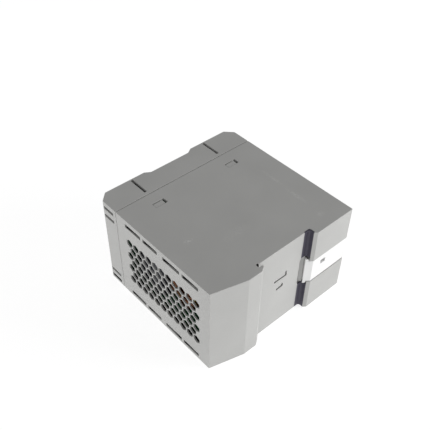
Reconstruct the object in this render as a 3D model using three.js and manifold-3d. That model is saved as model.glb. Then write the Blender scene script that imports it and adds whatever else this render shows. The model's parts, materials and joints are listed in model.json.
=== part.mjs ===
// A compact power supply module for a 35 mm DIN rail, lying on its side panel.
// Millimetres. +Z is up (the device's width), +X is the device's top (hook side),
// -X its bottom (latch side), -Y its front with the terminals and +Y its rear with the rail seat.
// The origin is at the centre of the bottom of the bounding box.

import * as THREE from "three";
import { mergeVertices } from "three/addons/utils/BufferGeometryUtils.js";
import Module from "manifold-3d";

const wasm = await Module();
wasm.setup();

// ---------------------------------------------------------------- driving dimensions

// Envelope of the device
const WIDTH = 55.5; // along Z
const HEIGHT = 90; // along X
const DEPTH = 90.5; // along Y
const END = HEIGHT / 2; // X of the two vented end faces
const REAR = DEPTH / 2; // Y of the rear face
const FRONT = -DEPTH / 2; // Y of the front face
const MID = WIDTH / 2; // Z of the middle plane
const PANEL = 1.5; // thickness of the side panels
const END_WALL = 1.6; // thickness of the vented end walls
const GRILLE = { wall: 0.8, y: [-23.6, 34.5], z: [11.9, 43.6] }; // thinner area around the honeycomb
const FRONT_WALL = 1.6;
const GAP = 0.3; // clearance between pieces
const OVER = 1; // how far a cutter reaches past the face it cuts

// Front cover
const COVER_DEPTH = 15.5;
const SEAM = FRONT + COVER_DEPTH;
const COVER_CHAMFER = 4.5;
const RECESS_FLOOR = 12.7; // half width of the label recess
const RECESS_EDGE = 15.9; // half width at the top of its slopes
const RECESS_DEPTH = 2;
const SLIT = { x: 24.5, width: 1.5, from: -44.5, to: -32.1 };
const COVER_SLOTS = { z: [2.4, 7.0, 46.5, 51.7], height: 1.9, from: -40.4, to: -32.2 };
const SKIRT = { wall: 1, depth: 2.2, clearance: 0.2 };

// Snap windows in the side panels, and the tongues that sit in them
const WINDOW = { x: 24.3, y: -20.8, length: 7.3, width: 3.5 };
const TONGUE = { length: 5.65, clearance: 0.15, frontGap: 0.55, sunk: 0.1 };
const SNAP_ARM = { thickness: 1.3, reach: -17.8 };

// Rail interface on the rear face
const SEAT = 41.05; // Y of the face that rests on the rail
const HOOK = { facetX: 26.1, facetY: 40, flatX: 18.05, tipX: 15.3, tipY: 43.4, under: 42.5, root: 17.7 };
const RELIEF = { x: 17, y: 41, radius: 0.7 };
const GROOVE = { from: -14.35, wall: -17.76, lip: 43.95, chamferX: -19.4, corner: 1.3 };
const PAD = { thickness: 0.8, lipY: 43.9, corner: 1.3 };
const PAD_INSET = 0.2; // of the liners from the side panels
const INNER_REAR = 39; // inner face of the rear wall behind the seat
const LATCH_INNER_REAR = 35.3; // the same behind the latch channel
const LATCH_WALL_X = -11.5; // where the rear wall steps in to make room for the latch

// Latch slider and its channel
const LATCH_Z = 28; // middle line of the slider
const CHANNEL = { width: 15.2, floor: 37.7, footWidth: 17.2, footTop: 39.5 };
const SLIDER = { width: 14.5, base: 38, top: 45, frontX: -17.9 };
const SLIDER_FOOT = { width: 16.6, top: 39.2, to: -24 };
const NOSE = { tipX: -16.45, tipY: 42.5, under: 42.15, rampX: -19.5 };
const NOSE_WINGS = { halfWidth: 8.75, squareX: -17.1, top: 43.35 };
const NOSE_POCKET = { halfWidth: 9.1, to: -23.3, roof: 43.65 };
const DRIVER_HOLE = { x: -27.4, z: 30.4, length: 3.6, width: 2.6 };
const SPRING = { radius: 2, wire: 0.5, turns: 7, from: -37.5, to: -25.5, y: 40.2 };
const SPRING_POCKET = { width: 7.6, roof: 42.6, from: -39.5 };
const SPRING_POST = { length: 1.5, width: 4.6, top: 42.3 };
const GUIDE = { from: -13.9, to: -17.6, halfWidth: 9.3, corner: 2 };
const GUIDE_RAMP = { from: -15.4, low: 39.2, to: -17.3, top: 41 };

// Openings in the rail seat
const SEAT_SLOT = { from: -4.7, to: 4, z: 33.3, width: 1.2, leg: 36.1 };
const SEAT_POCKET = { from: -2.7, to: 1.9, z: 27.2, width: 1.3, rise: 1.4 };

// Liner pocket: its rounded corner, from the groove's wall to its floor
const LINER_CORNER = Array.from({ length: 5 }, (_, i) => {
  const angle = Math.PI + (i * Math.PI) / 8;
  return [
    GROOVE.wall - PAD.thickness + PAD.corner * (1 + Math.cos(angle)),
    SEAT - PAD.thickness + PAD.corner * (1 + Math.sin(angle)),
  ];
});

// Ventilation: a honeycomb field and rows of slots in each end wall
const HEX = { pitch: 5.08, flats: 4.45, rows: 7, longRow: 11, y: 5.45 };
const VENT_SLOTS = {
  z: [2.9, 51.8],
  height: 2.2,
  spans: [[-22.4, -10.1], [-8.3, 2.8], [6.9, 19.2], [20.9, 32.4]],
};

// Circuit boards
const BOARD = { thickness: 1.6, underside: 7, halfX: 41, from: -28, to: 34 };
const BOARD_TOP = BOARD.underside + BOARD.thickness;
const GUIDE_RIB = { height: 1.2, reach: 3, clearance: 0.1, from: -27, to: 34 };
const FRONT_BOARD = { back: -29.9, halfX: 41.6, low: 3.5, high: 52 };
const FRONT_BOARD_FACE = FRONT_BOARD.back - BOARD.thickness;
const HEADER = { halfLength: 12, height: 3, to: -24 };

// Terminals: screws and wire entries on the flat front, at both ends of the device
const POLE_PITCH = 10.16;
const INPUT_POLES = 3;
const OUTPUT_POLES = 4;
const TERMINAL = { near: 26.3, far: 39.7, face: -43.4, margin: 0.5 };
const SCREW = { x: 30.8, head: 2.8, headTop: -44.5, headHeight: 2, shank: 1.5, shankEnd: -34 };
const SCREW_HOLE = 3.15; // radius of the opening over a screw head
const SCREW_WELL = { radius: 3.1, floor: -42.2, bore: 1.7, boreEnd: -33.6 }; // in the terminal block
const ENTRY = { x: 36.9, side: 3.8, to: -41.6 };
const CLAMP = { side: 4.6, bore: 3.2, from: -41.3, to: -36.4, clearance: 0.25 };
const DRIVE_SLOT = { width: 0.8, depth: 0.9 };

// Output voltage trimmer and status light, between the recess and the output terminals
const ADJUSTER = { x: 20.1, z: 15, side: 8.4, face: -40.2, bore: 1.5 };
const ROTOR = { radius: 2.1, headEnd: -40.6, stem: 1.2, top: -44.6, bottom: -38.4, boreEnd: -38 };
const ROTOR_HOLE = 2.4;
const LIGHT = { x: 20.1, z: 40.5, radius: 1.5, clearance: 0.1, top: -45.1, back: -36.2 };
const LIGHT_FLANGE = { radius: 2.3, span: [-43.4, -42.4] };
const LED = { side: 3.2, height: 3.4 };
const LABEL = { halfLength: 12.1, margin: 4, thickness: 0.4, corner: 1 };

// Components on the main board: places are X and Y, spans run along X, Y or Z
const FUSE = { x: -36, span: [-24, -4], lift: 3.4, radius: 2.5 };
const FUSE_CAP = { radius: 2.8, length: 5, clip: 3, margin: 1 };
const THERMISTOR = { place: [-26, -20], radius: 6, thickness: 4.5 };
const VARISTOR = { place: [-18, -20], radius: 5, thickness: 3.6 };
const Y_CAPACITOR = { place: [2, 15], radius: 4, thickness: 3 };
const DISC_LIFT = 2;
const LEAD = { round: 0.4, flat: 0.7, pitch: 2.54 };
const X_CAPACITOR = { x: [-39, -30], y: [-3.5, 11], top: 23.6 };
const LINE_CHOKE = { x: -20, y: -2, inner: 4.4, outer: 8, width: 7, winding: 1.1 };
const OUTPUT_CHOKE = { x: 30, y: 8, inner: 5, outer: 9, width: 8.5, winding: 1.2 };
const CHOKE_FOOT = 0.6;
const CORE_SKIN = 0.1; // clearance between a ring core and its winding
const RECTIFIER = { x: [-11.9, -8.2], y: [21.8, 33], top: 25 };
const BULK_CAPACITOR = { place: [-24, 22], radius: 11, height: 38 };
const OUTPUT_CAPACITORS = [
  { place: [33, -9.5], radius: 6.2, height: 26 },
  { place: [33, -22], radius: 5, height: 20 },
];
const CRIMP = { depth: 0.5, from: 2.2, to: 3.4 };
const FINS = { count: 6, width: 1, lift: 2 };
const PRIMARY_HEATSINK = { along: [9, 33], faces: [-8, -6], finTip: -3, top: 40 };
const SECONDARY_HEATSINK = { along: [4, 38], faces: [29.4, 31.4], finTip: 34, top: 40, alongX: true };
const PACKAGE = { low: 18, high: 33.5, overlap: 1 };
const TRANSISTOR = { x: [-12.4, -8.2], y: [10.5, 20.7] };
const OUTPUT_RECTIFIER = { x: [14, 24.2], y: [25, 29.2], alongX: true };
const OPTOCOUPLER = { x: [9.7, 14.3], y: [12, 18], height: 3.5 };
const CORE = { x: 7, y: -6, length: 24, width: 26, low: 15.5, high: 26.5, yoke: 4, leg: 9, outerLeg: 4.3 };
const BOBBIN = { end: 0.4, side: 0.5, high: 32, legGap: 0.2, corner: 2.5 };

// ---------------------------------------------------------------- geometry helpers

// A closed geometry as a solid for boolean work.
function solid(geometry) {
  const bare = geometry.index ? geometry.toNonIndexed() : geometry.clone();
  bare.deleteAttribute("normal");
  bare.deleteAttribute("uv");
  const merged = mergeVertices(bare, 1e-4);
  return new wasm.Manifold(
    new wasm.Mesh({
      numProp: 3,
      vertProperties: merged.attributes.position.array,
      triVerts: new Uint32Array(merged.index.array),
    }),
  );
}

// A solid back as a geometry with flat shading.
function geometryOf(made) {
  const mesh = made.getMesh();
  const geometry = new THREE.BufferGeometry();
  geometry.setAttribute("position", new THREE.BufferAttribute(mesh.vertProperties, 3));
  geometry.setIndex(new THREE.BufferAttribute(mesh.triVerts, 1));
  const flat = geometry.toNonIndexed();
  flat.computeVertexNormals();
  return flat;
}

// An axis-aligned block between two corners.
function block([x0, x1], [y0, y1], [z0, z1]) {
  const box = new THREE.BoxGeometry(x1 - x0, y1 - y0, z1 - z0);
  box.translate((x0 + x1) / 2, (y0 + y1) / 2, (z0 + z1) / 2);
  return solid(box);
}

function shapeOf(outline) {
  return Array.isArray(outline) ? new THREE.Shape(outline.map(([a, b]) => new THREE.Vector2(a, b))) : outline;
}

function extrude(outline, length, curveSegments = 6) {
  return new THREE.ExtrudeGeometry(shapeOf(outline), { depth: length, bevelEnabled: false, curveSegments });
}

// Prisms of an outline in the XY, XZ and YZ planes, along Z, Y and X.
function prismZ(outline, [z0, z1], curveSegments) {
  return solid(extrude(outline, z1 - z0, curveSegments).translate(0, 0, z0));
}

function prismY(outline, [y0, y1], curveSegments) {
  const geometry = extrude(outline, y1 - y0, curveSegments);
  return solid(geometry.rotateX(Math.PI / 2).translate(0, y1, 0));
}

function prismX(outline, [x0, x1], curveSegments) {
  const geometry = extrude(outline, x1 - x0, curveSegments);
  return solid(geometry.rotateX(Math.PI / 2).rotateZ(Math.PI / 2).translate(x0, 0, 0));
}

// Round bars along each axis; `centre` gives the two coordinates across the bar.
function rodZ([x, y], radius, [z0, z1], sides = 24) {
  const bar = new THREE.CylinderGeometry(radius, radius, z1 - z0, sides).rotateX(Math.PI / 2);
  return solid(bar.translate(x, y, (z0 + z1) / 2));
}

function rodY([x, z], radius, [y0, y1], sides = 24) {
  const bar = new THREE.CylinderGeometry(radius, radius, y1 - y0, sides);
  return solid(bar.translate(x, (y0 + y1) / 2, z));
}

function rodX([y, z], radius, [x0, x1], sides = 24) {
  const bar = new THREE.CylinderGeometry(radius, radius, x1 - x0, sides).rotateZ(Math.PI / 2);
  return solid(bar.translate((x0 + x1) / 2, y, z));
}

// A rectangle centred on (a, b) with rounded corners, as a shape.
function roundedRectangle(a, b, halfA, halfB, radius) {
  const shape = new THREE.Shape();
  const corners = [
    [a + halfA - radius, b + halfB - radius, 0],
    [a - halfA + radius, b + halfB - radius, 1],
    [a - halfA + radius, b - halfB + radius, 2],
    [a + halfA - radius, b - halfB + radius, 3],
  ];
  for (const [x, y, quarter] of corners)
    shape.absarc(x, y, radius, (quarter * Math.PI) / 2, ((quarter + 1) * Math.PI) / 2, false);
  return shape;
}

function union(solids) {
  return solids.reduce((sum, next) => sum.add(next));
}

const around = (middle, size) => [middle - size / 2, middle + size / 2];
const bothSides = [-1, 1];

// ---------------------------------------------------------------- materials

const finish = (color, roughness, metalness = 0) =>
  new THREE.MeshStandardMaterial({ color, roughness, metalness });
const MATERIALS = {
  housing: () => finish(0xb9bab6, 0.6),
  latch: () => finish(0xf4f4f2, 0.45),
  guide: () => finish(0xa6a7a3, 0.6),
  pad: () => finish(0x46424f, 0.8),
  label: () => finish(0xd8d9d6, 0.5),
  board: () => finish(0x1f5a34, 0.5),
  terminal: () => finish(0x2c2e31, 0.55),
  steel: () => finish(0xb4b6b8, 0.35, 1),
  tinned: () => finish(0xc9c6bd, 0.4, 1),
  ferrite: () => finish(0x2a2a2d, 0.7),
  tape: () => finish(0xd8c23a, 0.5),
  copper: () => finish(0xa9602f, 0.35, 1),
  ironPowder: () => finish(0xb7b84a, 0.6),
  sleeve: () => finish(0x24272f, 0.4),
  film: () => finish(0xb9a23c, 0.45),
  aluminium: () => finish(0xa9acb0, 0.45, 1),
  epoxy: () => finish(0x1b1b1d, 0.5),
  blueEpoxy: () => finish(0x2b4f93, 0.45),
  glass: () => finish(0xd9dfdd, 0.15),
  trimmer: () => finish(0x2f5fa8, 0.45),
  lightPipe: () => finish(0xd7e6d5, 0.2),
};

const device = new THREE.Group();
device.name = "rail_power_supply";

function add(name, material, made) {
  const mesh = new THREE.Mesh(geometryOf(made), MATERIALS[material]());
  mesh.name = name;
  device.add(mesh);
}

// ---------------------------------------------------------------- housing

// Side profile of the body, with the rail hook, the seat and the groove beside the latch.
const BODY_PROFILE = [
  [-END, SEAM],
  [END, SEAM],
  [END, HOOK.facetY],
  [HOOK.facetX, REAR],
  [HOOK.flatX, REAR],
  [HOOK.tipX, HOOK.tipY],
  [HOOK.tipX, HOOK.under],
  [HOOK.root, HOOK.under],
  [HOOK.root, SEAT],
  [GROOVE.from, SEAT],
  [GROOVE.from, SEAT - PAD.thickness],
  ...[...LINER_CORNER].reverse(),
  [GROOVE.wall - PAD.thickness, PAD.lipY],
  [GROOVE.wall, PAD.lipY],
  [GROOVE.wall, GROOVE.lip],
  [GROOVE.chamferX, REAR],
  [-END, REAR],
];

const BODY_CAVITY = [
  [-END + END_WALL, SEAM - OVER],
  [END - END_WALL, SEAM - OVER],
  [END - END_WALL, INNER_REAR],
  [LATCH_WALL_X, INNER_REAR],
  [LATCH_WALL_X, LATCH_INNER_REAR],
  [-END + END_WALL, LATCH_INNER_REAR],
];

// One hexagonal hole, points along Z, through both end walls.
function hexagon(y, z) {
  const corner = HEX.flats / Math.sqrt(3);
  return Array.from({ length: 6 }, (_, i) => {
    const angle = (i * Math.PI) / 3 + Math.PI / 2;
    return [y + corner * Math.cos(angle), z + corner * Math.sin(angle)];
  });
}

function honeycombCutters() {
  const rowPitch = (HEX.pitch * Math.sqrt(3)) / 2;
  const cutters = [];
  for (let row = 0; row < HEX.rows; row++) {
    const count = HEX.longRow - (row % 2);
    const z = MID + (row - (HEX.rows - 1) / 2) * rowPitch;
    for (let i = 0; i < count; i++) {
      const y = HEX.y + (i - (count - 1) / 2) * HEX.pitch;
      cutters.push(prismX(hexagon(y, z), [-END - OVER, END + OVER]));
    }
  }
  return cutters;
}

function slotCutters() {
  return VENT_SLOTS.z.flatMap((z) =>
    VENT_SLOTS.spans.map((span) => block([-END - OVER, END + OVER], span, around(z, VENT_SLOTS.height))),
  );
}

function windowCutters() {
  return bothSides.map((side) =>
    block(around(side * WINDOW.x, WINDOW.length), around(WINDOW.y, WINDOW.width), [-OVER, WIDTH + OVER]),
  );
}

// The latch channel, open at the rear and at the bottom end, with the wider pocket for the nose.
function latchCutters() {
  const run = [-END - OVER, GUIDE.to];
  const channel = block(run, [CHANNEL.floor, REAR + OVER], around(LATCH_Z, CHANNEL.width));
  const foot = block(run, [CHANNEL.floor, CHANNEL.footTop], around(LATCH_Z, CHANNEL.footWidth));
  const pocket = block(
    [NOSE_POCKET.to, GUIDE.to],
    [CHANNEL.floor, NOSE_POCKET.roof],
    around(LATCH_Z, 2 * NOSE_POCKET.halfWidth),
  );
  const mouth = prismY(guideOutline(GAP / 2), [CHANNEL.floor, SEAT + OVER], 4);
  return [channel, foot, pocket, mouth];
}

// A slot bent like an L and a short cranked one, through the rear wall.
function seatOpeningCutters() {
  const cut = [INNER_REAR - OVER, SEAT + OVER];
  const bar = block([SEAT_SLOT.from, SEAT_SLOT.to], cut, around(SEAT_SLOT.z, SEAT_SLOT.width));
  const leg = block([SEAT_SLOT.from, SEAT_SLOT.from + SEAT_SLOT.width], cut, [SEAT_SLOT.z, SEAT_SLOT.leg]);
  const { from, to, z, width, rise } = SEAT_POCKET;
  const crank = prismY(
    [
      [from, z + rise],
      [from, z - width / 2],
      [to, z - width],
      [to, z],
      [from + width, z + width / 2],
      [from + width, z + rise],
    ],
    cut,
  );
  return [bar, leg, crank];
}

// Pockets inside the end walls that thin them around the honeycomb.
function grillePockets() {
  return bothSides.map((side) => {
    const reach = [side * (END - END_WALL - OVER), side * (END - GRILLE.wall)].sort((a, b) => a - b);
    return block(reach, GRILLE.y, GRILLE.z);
  });
}

// Ribs on the inner end walls that hold the main board by its edges.
function boardRibs() {
  const { clearance, height } = GUIDE_RIB;
  const levels = [BOARD.underside - clearance - height, BOARD_TOP + clearance];
  return bothSides.flatMap((side) =>
    levels.map((low) => {
      const inner = side * (END - END_WALL - GUIDE_RIB.reach);
      const outer = side * (END - END_WALL / 2);
      const span = [Math.min(inner, outer), Math.max(inner, outer)];
      return block(span, [GUIDE_RIB.from, GUIDE_RIB.to], [low, low + height]);
    }),
  );
}

function housing() {
  const shell = prismZ(BODY_PROFILE, [0, WIDTH]);
  const cavity = prismZ(BODY_CAVITY, [PANEL, WIDTH - PANEL]);
  const relief = rodZ([RELIEF.x, RELIEF.y], RELIEF.radius, [-OVER, WIDTH + OVER], 12);
  const post = block(
    [SPRING.from - SPRING_POST.length, SPRING.from],
    [CHANNEL.floor - OVER, SPRING_POST.top],
    around(LATCH_Z, SPRING_POST.width),
  );
  return shell
    .subtract(cavity)
    .subtract(union(grillePockets()))
    .add(union(boardRibs()))
    .subtract(union([...honeycombCutters(), ...slotCutters(), ...windowCutters()]))
    .subtract(union([...latchCutters(), ...seatOpeningCutters(), relief]))
    .add(post);
}

// ---------------------------------------------------------------- front cover

// Half outline of the cover's front, mirrored to make a profile in the XY plane.
function coverProfile(inset) {
  const end = END - inset;
  const front = FRONT + inset;
  const chamferShift = inset * Math.tan(Math.PI / 8);
  const slopeShift = inset * Math.tan(Math.atan2(RECESS_DEPTH, RECESS_EDGE - RECESS_FLOOR) / 2);
  const half = [
    [end, SEAM + inset],
    [end, FRONT + COVER_CHAMFER + chamferShift],
    [END - COVER_CHAMFER - chamferShift, front],
    [RECESS_EDGE + slopeShift, front],
    [RECESS_FLOOR + slopeShift, front + RECESS_DEPTH],
  ];
  return [...half.map(([x, y]) => [-x, y]), ...[...half].reverse()];
}

function terminalPositions(poles) {
  return Array.from({ length: poles }, (_, i) => MID + (i - (poles - 1) / 2) * POLE_PITCH);
}

const TERMINALS = [
  { name: "input", side: -1, poles: terminalPositions(INPUT_POLES) },
  { name: "output", side: 1, poles: terminalPositions(OUTPUT_POLES) },
];

function slitCutters() {
  return bothSides.flatMap((side) =>
    [[-OVER, PANEL], [WIDTH - PANEL, WIDTH + OVER]].map((span) =>
      block(around(side * SLIT.x, SLIT.width), [SLIT.from, SLIT.to], span),
    ),
  );
}

function coverSlotCutters() {
  return COVER_SLOTS.z.map((z) =>
    block([-END - OVER, END + OVER], [COVER_SLOTS.from, COVER_SLOTS.to], around(z, COVER_SLOTS.height)),
  );
}

function terminalOpenings() {
  const through = [FRONT - OVER, FRONT + FRONT_WALL + OVER];
  return TERMINALS.flatMap(({ side, poles }) =>
    poles.flatMap((z) => [
      rodY([side * SCREW.x, z], SCREW_HOLE, through, 20),
      block(around(side * ENTRY.x, ENTRY.side), through, around(z, ENTRY.side)),
    ]),
  );
}

// The ring behind the cover's wall that steps into the housing's mouth.
function coverSkirt() {
  const ring = (clearance, wall, span) => {
    const x = END - END_WALL - clearance;
    const z = PANEL + clearance;
    const outer = block([-x, x], span, [z, WIDTH - z]);
    const through = [span[0] - OVER, span[1] + OVER];
    return outer.subtract(block([-x + wall, x - wall], through, [z + wall, WIDTH - z - wall]));
  };
  const { wall, depth, clearance } = SKIRT;
  const root = ring(-END_WALL / 2, wall + clearance + END_WALL / 2, [SLIT.to, SEAM]);
  return root.add(ring(clearance, wall, [SLIT.to, SEAM + depth]));
}

// A snap arm inside a side panel, with the tongue that fills most of the panel's window.
function snapArm(side, low) {
  const outerFace = low ? PANEL + SKIRT.clearance : WIDTH - PANEL - SKIRT.clearance;
  const innerFace = low ? outerFace + SNAP_ARM.thickness : outerFace - SNAP_ARM.thickness;
  const tongueFace = low ? TONGUE.sunk : WIDTH - TONGUE.sunk;
  const ordered = (a, b) => [Math.min(a, b), Math.max(a, b)];
  const end = side * WINDOW.x + WINDOW.length / 2 - TONGUE.clearance;
  const span = [end - TONGUE.length, end];
  const arm = block(span, [SLIT.to, SNAP_ARM.reach], ordered(outerFace, innerFace));
  const tongue = block(
    span,
    [WINDOW.y - WINDOW.width / 2 + TONGUE.frontGap, WINDOW.y + WINDOW.width / 2 - TONGUE.clearance],
    ordered(tongueFace, innerFace),
  );
  return arm.add(tongue);
}

function frontCover() {
  const shell = prismZ(coverProfile(0), [0, WIDTH]);
  const cavity = prismZ(coverProfile(FRONT_WALL), [PANEL, WIDTH - PANEL]);
  const arms = bothSides.flatMap((side) => [true, false].map((low) => snapArm(side, low)));
  const through = [FRONT - OVER, FRONT + FRONT_WALL + OVER];
  const adjusterHole = rodY([ADJUSTER.x, ADJUSTER.z], ROTOR_HOLE, through, 20);
  const lightHole = rodY([LIGHT.x, LIGHT.z], LIGHT.radius + LIGHT.clearance, through, 20);
  return shell
    .subtract(cavity)
    .add(coverSkirt())
    .add(union(arms))
    .subtract(union([...slitCutters(), ...coverSlotCutters(), ...terminalOpenings()]))
    .subtract(adjusterHole.add(lightHole));
}

function labelPlate() {
  const face = FRONT + RECESS_DEPTH;
  return prismY(
    roundedRectangle(0, MID, LABEL.halfLength, MID - LABEL.margin, LABEL.corner),
    [face - LABEL.thickness, face],
    3,
  );
}

// ---------------------------------------------------------------- rail latch

// The tab in front of the nose, round at its far corners, grown by an offset.
function guideOutline(offset) {
  const from = GUIDE.from + offset;
  const half = GUIDE.halfWidth + offset;
  const centreX = from - GUIDE.corner;
  const centreZ = half - GUIDE.corner;
  const shape = new THREE.Shape();
  shape.moveTo(GUIDE.to, LATCH_Z - half);
  shape.lineTo(centreX, LATCH_Z - half);
  shape.absarc(centreX, LATCH_Z - centreZ, GUIDE.corner, -Math.PI / 2, 0, false);
  shape.absarc(centreX, LATCH_Z + centreZ, GUIDE.corner, 0, Math.PI / 2, false);
  shape.lineTo(GUIDE.to, LATCH_Z + half);
  return shape;
}

function latchGuide() {
  const tab = prismY(guideOutline(0), [CHANNEL.floor, GUIDE_RAMP.top], 4);
  const aboveRamp = prismZ(
    [
      [GUIDE_RAMP.to, GUIDE_RAMP.top],
      [GUIDE_RAMP.from, GUIDE_RAMP.low],
      [GUIDE.from + OVER, GUIDE_RAMP.low],
      [GUIDE.from + OVER, GUIDE_RAMP.top + OVER],
      [GUIDE_RAMP.to, GUIDE_RAMP.top + OVER],
    ],
    [0, WIDTH],
  );
  return tab.subtract(aboveRamp);
}

// The latch's wedge nose, level at a height behind its ramp.
function noseWedge(width, top) {
  const rise = (top - NOSE.tipY) / (SLIDER.top - NOSE.tipY);
  const profile = [
    [NOSE.rampX - OVER, SLIDER.base],
    [SLIDER.frontX, SLIDER.base],
    [SLIDER.frontX, NOSE.under],
    [NOSE.tipX, NOSE.under],
    [NOSE.tipX, NOSE.tipY],
    [NOSE.tipX + rise * (NOSE.rampX - NOSE.tipX), top],
    [NOSE.rampX - OVER, top],
  ];
  return prismZ(profile, around(LATCH_Z, width));
}

// The wings that widen the nose beyond the channel, seen from the rear.
function wingPlan() {
  const { halfWidth, squareX } = NOSE_WINGS;
  return prismY(
    [
      [NOSE.rampX, LATCH_Z - SLIDER.width / 2],
      [squareX, LATCH_Z - halfWidth],
      [NOSE.tipX + OVER, LATCH_Z - halfWidth],
      [NOSE.tipX + OVER, LATCH_Z + halfWidth],
      [squareX, LATCH_Z + halfWidth],
      [NOSE.rampX, LATCH_Z + SLIDER.width / 2],
    ],
    [SLIDER.base - OVER, SLIDER.top + OVER],
  );
}

function railLatch() {
  const body = block([-END, NOSE.rampX], [SLIDER.base, SLIDER.top], around(LATCH_Z, SLIDER.width));
  const footWidth = around(LATCH_Z, SLIDER_FOOT.width);
  const foot = block([-END, SLIDER_FOOT.to], [SLIDER.base, SLIDER_FOOT.top], footWidth);
  const wings = noseWedge(2 * NOSE_WINGS.halfWidth, NOSE_WINGS.top).intersect(wingPlan());
  const nose = noseWedge(SLIDER.width, SLIDER.top).add(wings);
  const springPocket = block(
    [SPRING_POCKET.from, SPRING.to],
    [SLIDER.base - OVER, SPRING_POCKET.roof],
    around(LATCH_Z, SPRING_POCKET.width),
  );
  const driverHole = block(
    around(DRIVER_HOLE.x, DRIVER_HOLE.length),
    [SPRING_POCKET.roof - OVER, SLIDER.top + OVER],
    around(DRIVER_HOLE.z, DRIVER_HOLE.width),
  );
  return body.add(foot).add(nose).subtract(springPocket).subtract(driverHole);
}

// A coil spring along X, as one bar swept along a helix with closed ends.
function latchSpring() {
  const free = SPRING.to - SPRING.from - 2 * SPRING.wire;
  class Helix extends THREE.Curve {
    getPoint(t, target = new THREE.Vector3()) {
      const angle = t * SPRING.turns * 2 * Math.PI;
      const along = SPRING.from + SPRING.wire + t * free;
      return target.set(
        along,
        SPRING.y + SPRING.radius * Math.cos(angle),
        LATCH_Z + SPRING.radius * Math.sin(angle),
      );
    }
  }
  const section = new THREE.Shape();
  section.absarc(0, 0, SPRING.wire / 2, 0, 2 * Math.PI, false);
  const coil = new THREE.ExtrudeGeometry(section, {
    steps: SPRING.turns * 12,
    extrudePath: new Helix(),
    curveSegments: 3,
    bevelEnabled: false,
  });
  return solid(coil);
}

// Liner on the groove's floor and wall, with a rounded inner corner.
function railPad(span) {
  const shape = new THREE.Shape();
  shape.setFromPoints(LINER_CORNER.map(([x, y]) => new THREE.Vector2(x, y)));
  shape.lineTo(GROOVE.from, SEAT - PAD.thickness);
  shape.lineTo(GROOVE.from, SEAT);
  shape.lineTo(GROOVE.wall + GROOVE.corner, SEAT);
  shape.absarc(
    GROOVE.wall + GROOVE.corner,
    SEAT + GROOVE.corner,
    GROOVE.corner,
    (3 * Math.PI) / 2,
    Math.PI,
    true,
  );
  shape.lineTo(GROOVE.wall, PAD.lipY);
  shape.lineTo(GROOVE.wall - PAD.thickness, PAD.lipY);
  return prismZ(shape, span, 5);
}

// ---------------------------------------------------------------- boards

function mainBoard() {
  return block([-BOARD.halfX, BOARD.halfX], [BOARD.from, BOARD.to], [BOARD.underside, BOARD_TOP]);
}

function frontBoard() {
  return block(
    [-FRONT_BOARD.halfX, FRONT_BOARD.halfX],
    [FRONT_BOARD_FACE, FRONT_BOARD.back],
    [FRONT_BOARD.low, FRONT_BOARD.high],
  );
}

function boardHeader() {
  return block(
    [-HEADER.halfLength, HEADER.halfLength],
    [FRONT_BOARD.back, HEADER.to],
    [BOARD_TOP, BOARD_TOP + HEADER.height],
  );
}

// ---------------------------------------------------------------- terminals

// A block with one screw well, one wire entry and one clamp chamber for each pole.
function terminalBlock({ side, poles }) {
  const reach = POLE_PITCH / 2 - TERMINAL.margin;
  const ends = [side * TERMINAL.near, side * TERMINAL.far].sort((a, b) => a - b);
  const height = [poles[0] - reach, poles[poles.length - 1] + reach];
  const bulk = block(ends, [TERMINAL.face, FRONT_BOARD_FACE], height);
  return bulk.subtract(union(poles.map((z) => poleCutter(side, z))));
}

function poleCutter(side, z) {
  const well = rodY([side * SCREW.x, z], SCREW_WELL.radius, [TERMINAL.face - OVER, SCREW_WELL.floor], 20);
  const bore = rodY([side * SCREW.x, z], SCREW_WELL.bore, [TERMINAL.face, SCREW_WELL.boreEnd], 12);
  const mouth = [TERMINAL.face - OVER, CLAMP.to];
  const entry = block(around(side * ENTRY.x, ENTRY.side), mouth, around(z, ENTRY.side));
  const room = CLAMP.side + 2 * CLAMP.clearance;
  const depth = [ENTRY.to, CLAMP.to + CLAMP.clearance];
  const chamber = block(around(side * ENTRY.x, room), depth, around(z, room));
  return union([well, bore, entry, chamber]);
}

function wireClamp(side, z) {
  const outer = block(around(side * ENTRY.x, CLAMP.side), [CLAMP.from, CLAMP.to], around(z, CLAMP.side));
  const inner = block(
    around(side * ENTRY.x, CLAMP.bore),
    [CLAMP.from - OVER, CLAMP.to + OVER],
    around(z, CLAMP.bore),
  );
  return outer.subtract(inner);
}

// A slotted pan-head screw, head towards the front.
function terminalScrew(side, z) {
  const headEnd = SCREW.headTop + SCREW.headHeight;
  const head = rodY([side * SCREW.x, z], SCREW.head, [SCREW.headTop, headEnd], 20);
  const shank = rodY([side * SCREW.x, z], SCREW.shank, [headEnd - OVER, SCREW.shankEnd], 12);
  return head.add(shank).subtract(driveSlot([side * SCREW.x, z], SCREW.headTop, 2 * SCREW.head + OVER));
}

function driveSlot([x, z], top, length) {
  return block(around(x, DRIVE_SLOT.width), [top - OVER, top + DRIVE_SLOT.depth], around(z, length));
}

// ---------------------------------------------------------------- trimmer and status light

function adjusterBody() {
  const { x, z, side, face, bore } = ADJUSTER;
  const body = block(around(x, side), [face, FRONT_BOARD_FACE], around(z, side));
  return body.subtract(rodY([x, z], bore, [face - OVER, ROTOR.boreEnd], 16));
}

function adjusterRotor() {
  const centre = [ADJUSTER.x, ADJUSTER.z];
  const head = rodY(centre, ROTOR.radius, [ROTOR.top, ROTOR.headEnd], 20);
  const stem = rodY(centre, ROTOR.stem, [ROTOR.headEnd - OVER, ROTOR.bottom], 16);
  return head.add(stem).subtract(driveSlot(centre, ROTOR.top, 2 * ROTOR.radius + OVER));
}

function statusLed() {
  return block(
    around(LIGHT.x, LED.side),
    [FRONT_BOARD_FACE - LED.height, FRONT_BOARD_FACE],
    around(LIGHT.z, LED.side),
  );
}

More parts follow.
